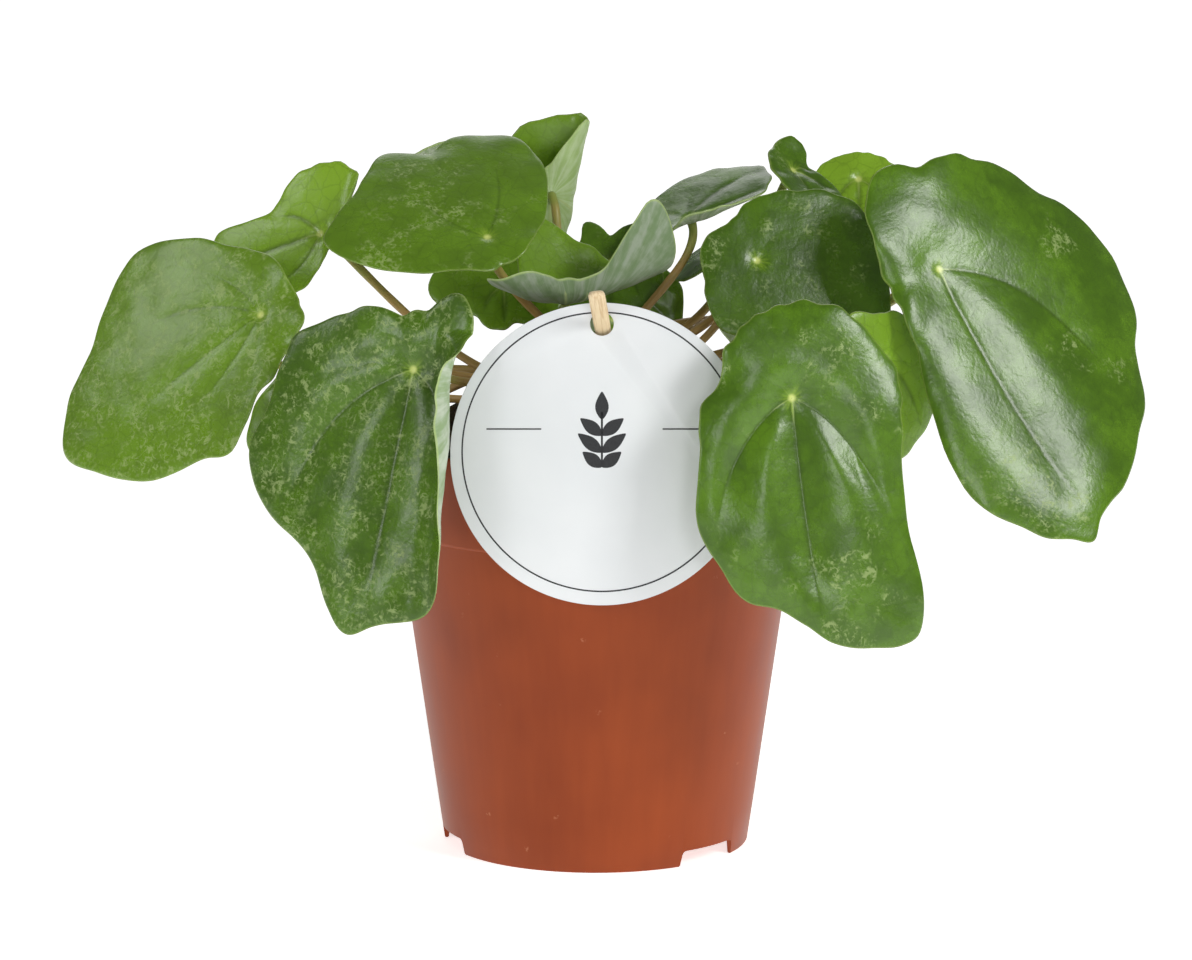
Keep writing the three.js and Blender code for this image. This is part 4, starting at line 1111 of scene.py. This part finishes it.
stick, turn, fall = ball("birch_stick", 32, 96)
along = stick_length * (1 - fall)
top = np.sqrt(np.clip(1 - (1 - np.clip((stick_length - along) / 1.9, 0, 1)) ** 2.2, 0, 1))
point = np.clip(0.3 + 0.7 * along / 6, 0, 1) * np.clip(along / 0.4, 0, 1)
square = stick_fit * (np.abs(np.cos(turn)) ** 3 + np.abs(np.sin(turn)) ** 3) ** (-1 / 3)
wide, deep = stick_width / 2 * top * point * square, stick_depth / 2 * top * point * square
uneven = 1 + 0.015 * np.sin(along / 4.1)
straight = np.stack([wide * uneven * np.cos(turn), deep * np.sin(turn), along], axis=1)
shape(stick, placed(straight, Matrix.Translation(stick_foot) @ stick_spin))

# Birch: pale cream, planed and tumbled, with fine brown pores drawn out along the grain.
birch, shader = surface("tumbled_birch")
spot = add(birch, "TexCoord", {}, {}).outputs["Object"]
grain_way = add(birch, "Mapping", {"vector_type": "TEXTURE"},
                {"Vector": spot, "Rotation": stick_spin.to_euler()})
drawn = add(birch, "VectorMath", times, {0: grain_way, 1: (1, 1, 0.06)})
grain = add(birch, "TexNoise", {}, {"Vector": drawn, "Scale": 1 / (0.45 * mm), "Detail": 4})
blush = add(birch, "TexNoise", {}, {"Vector": spot, "Scale": 1 / (5 * mm)})
pale = add(birch, "Mix", in_colour, {0: blush, 6: linear("#DCC193"), 7: linear("#F0DFBE")})
pores = add(birch, "MapRange", eased, {"Value": grain, "From Min": 0.45, "From Max": 0.7, "To Max": 0.55})
grained = add(birch, "Mix", in_colour, {0: pores, 6: pale, 7: linear("#B98F58")})
relief = add(birch, "Bump", {}, {"Height": grain, "Strength": 0.4, "Distance": 0.1 * mm})
wire(shader, {"Base Color": grained, "Normal": relief, "Roughness": 0.6})
stick.data.materials.append(birch)
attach(stick, "root")
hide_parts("stick")

# ---- Floor, lights and camera ------------------------------------------------------------------
# A wide sheet of white paper under the pot, which glows a little so that it stays white, five
# softboxes round the plant, and a camera in front that looks down on it.
camera_back = 1.2619
camera_up = 0.3127
camera_tilt = 80.6
aim_height = 0.14

bpy.ops.mesh.primitive_circle_add(vertices=96, radius=12, fill_type="NGON")
floor = bpy.context.object
floor.name = "studio_floor"
paper, shader = surface("white_studio_paper")
wire(shader, {"Base Color": linear("#F4F4F3"), "Roughness": 0.9, "Specular IOR Level": 0.1,
              "Emission Color": (1, 1, 1, 1), "Emission Strength": 0.7})
floor.data.materials.append(paper)

world = bpy.data.worlds.new("studio")
world.use_nodes = True
wire(world.node_tree.nodes["Background"], {"Color": (1, 1, 1, 1), "Strength": 0.15})
bpy.context.scene.world = world
bpy.context.scene.view_settings.view_transform = "Standard"


def softbox(name, place, width, height, power):
    """A flat soft lamp aimed at the middle of the plant."""
    bpy.ops.object.light_add(type="AREA", location=place)
    lamp = bpy.context.object
    lamp.name = name
    lamp.data.shape = "RECTANGLE"
    lamp.data.size, lamp.data.size_y = width, height
    lamp.data.energy = power
    aim = Vector((0, 0, aim_height)) - Vector(place)
    lamp.rotation_euler = aim.to_track_quat("-Z", "Y").to_euler()


softbox("right_softbox", (1.0, -0.82, 0.92), 0.44, 0.44, 10.5)
softbox("left_softbox", (-1.3, -0.06, 0.96), 0.38, 0.38, 2.3)
softbox("front_right_softbox", (0.3, -1.48, 0.5), 0.26, 0.36, 2.6)
softbox("front_left_softbox", (-0.98, -1.12, 0.56), 0.26, 0.36, 2.8)
softbox("floor_softbox", (0.3, 3.6, 2.7), 3, 3, 46)

tilt = math.radians(camera_tilt)
bpy.ops.object.camera_add(location=(0, -camera_back, camera_up), rotation=(tilt, 0, 0))
camera = bpy.context.object
camera.data.lens = 135.9
camera.data.sensor_width = 36
bpy.context.scene.camera = camera
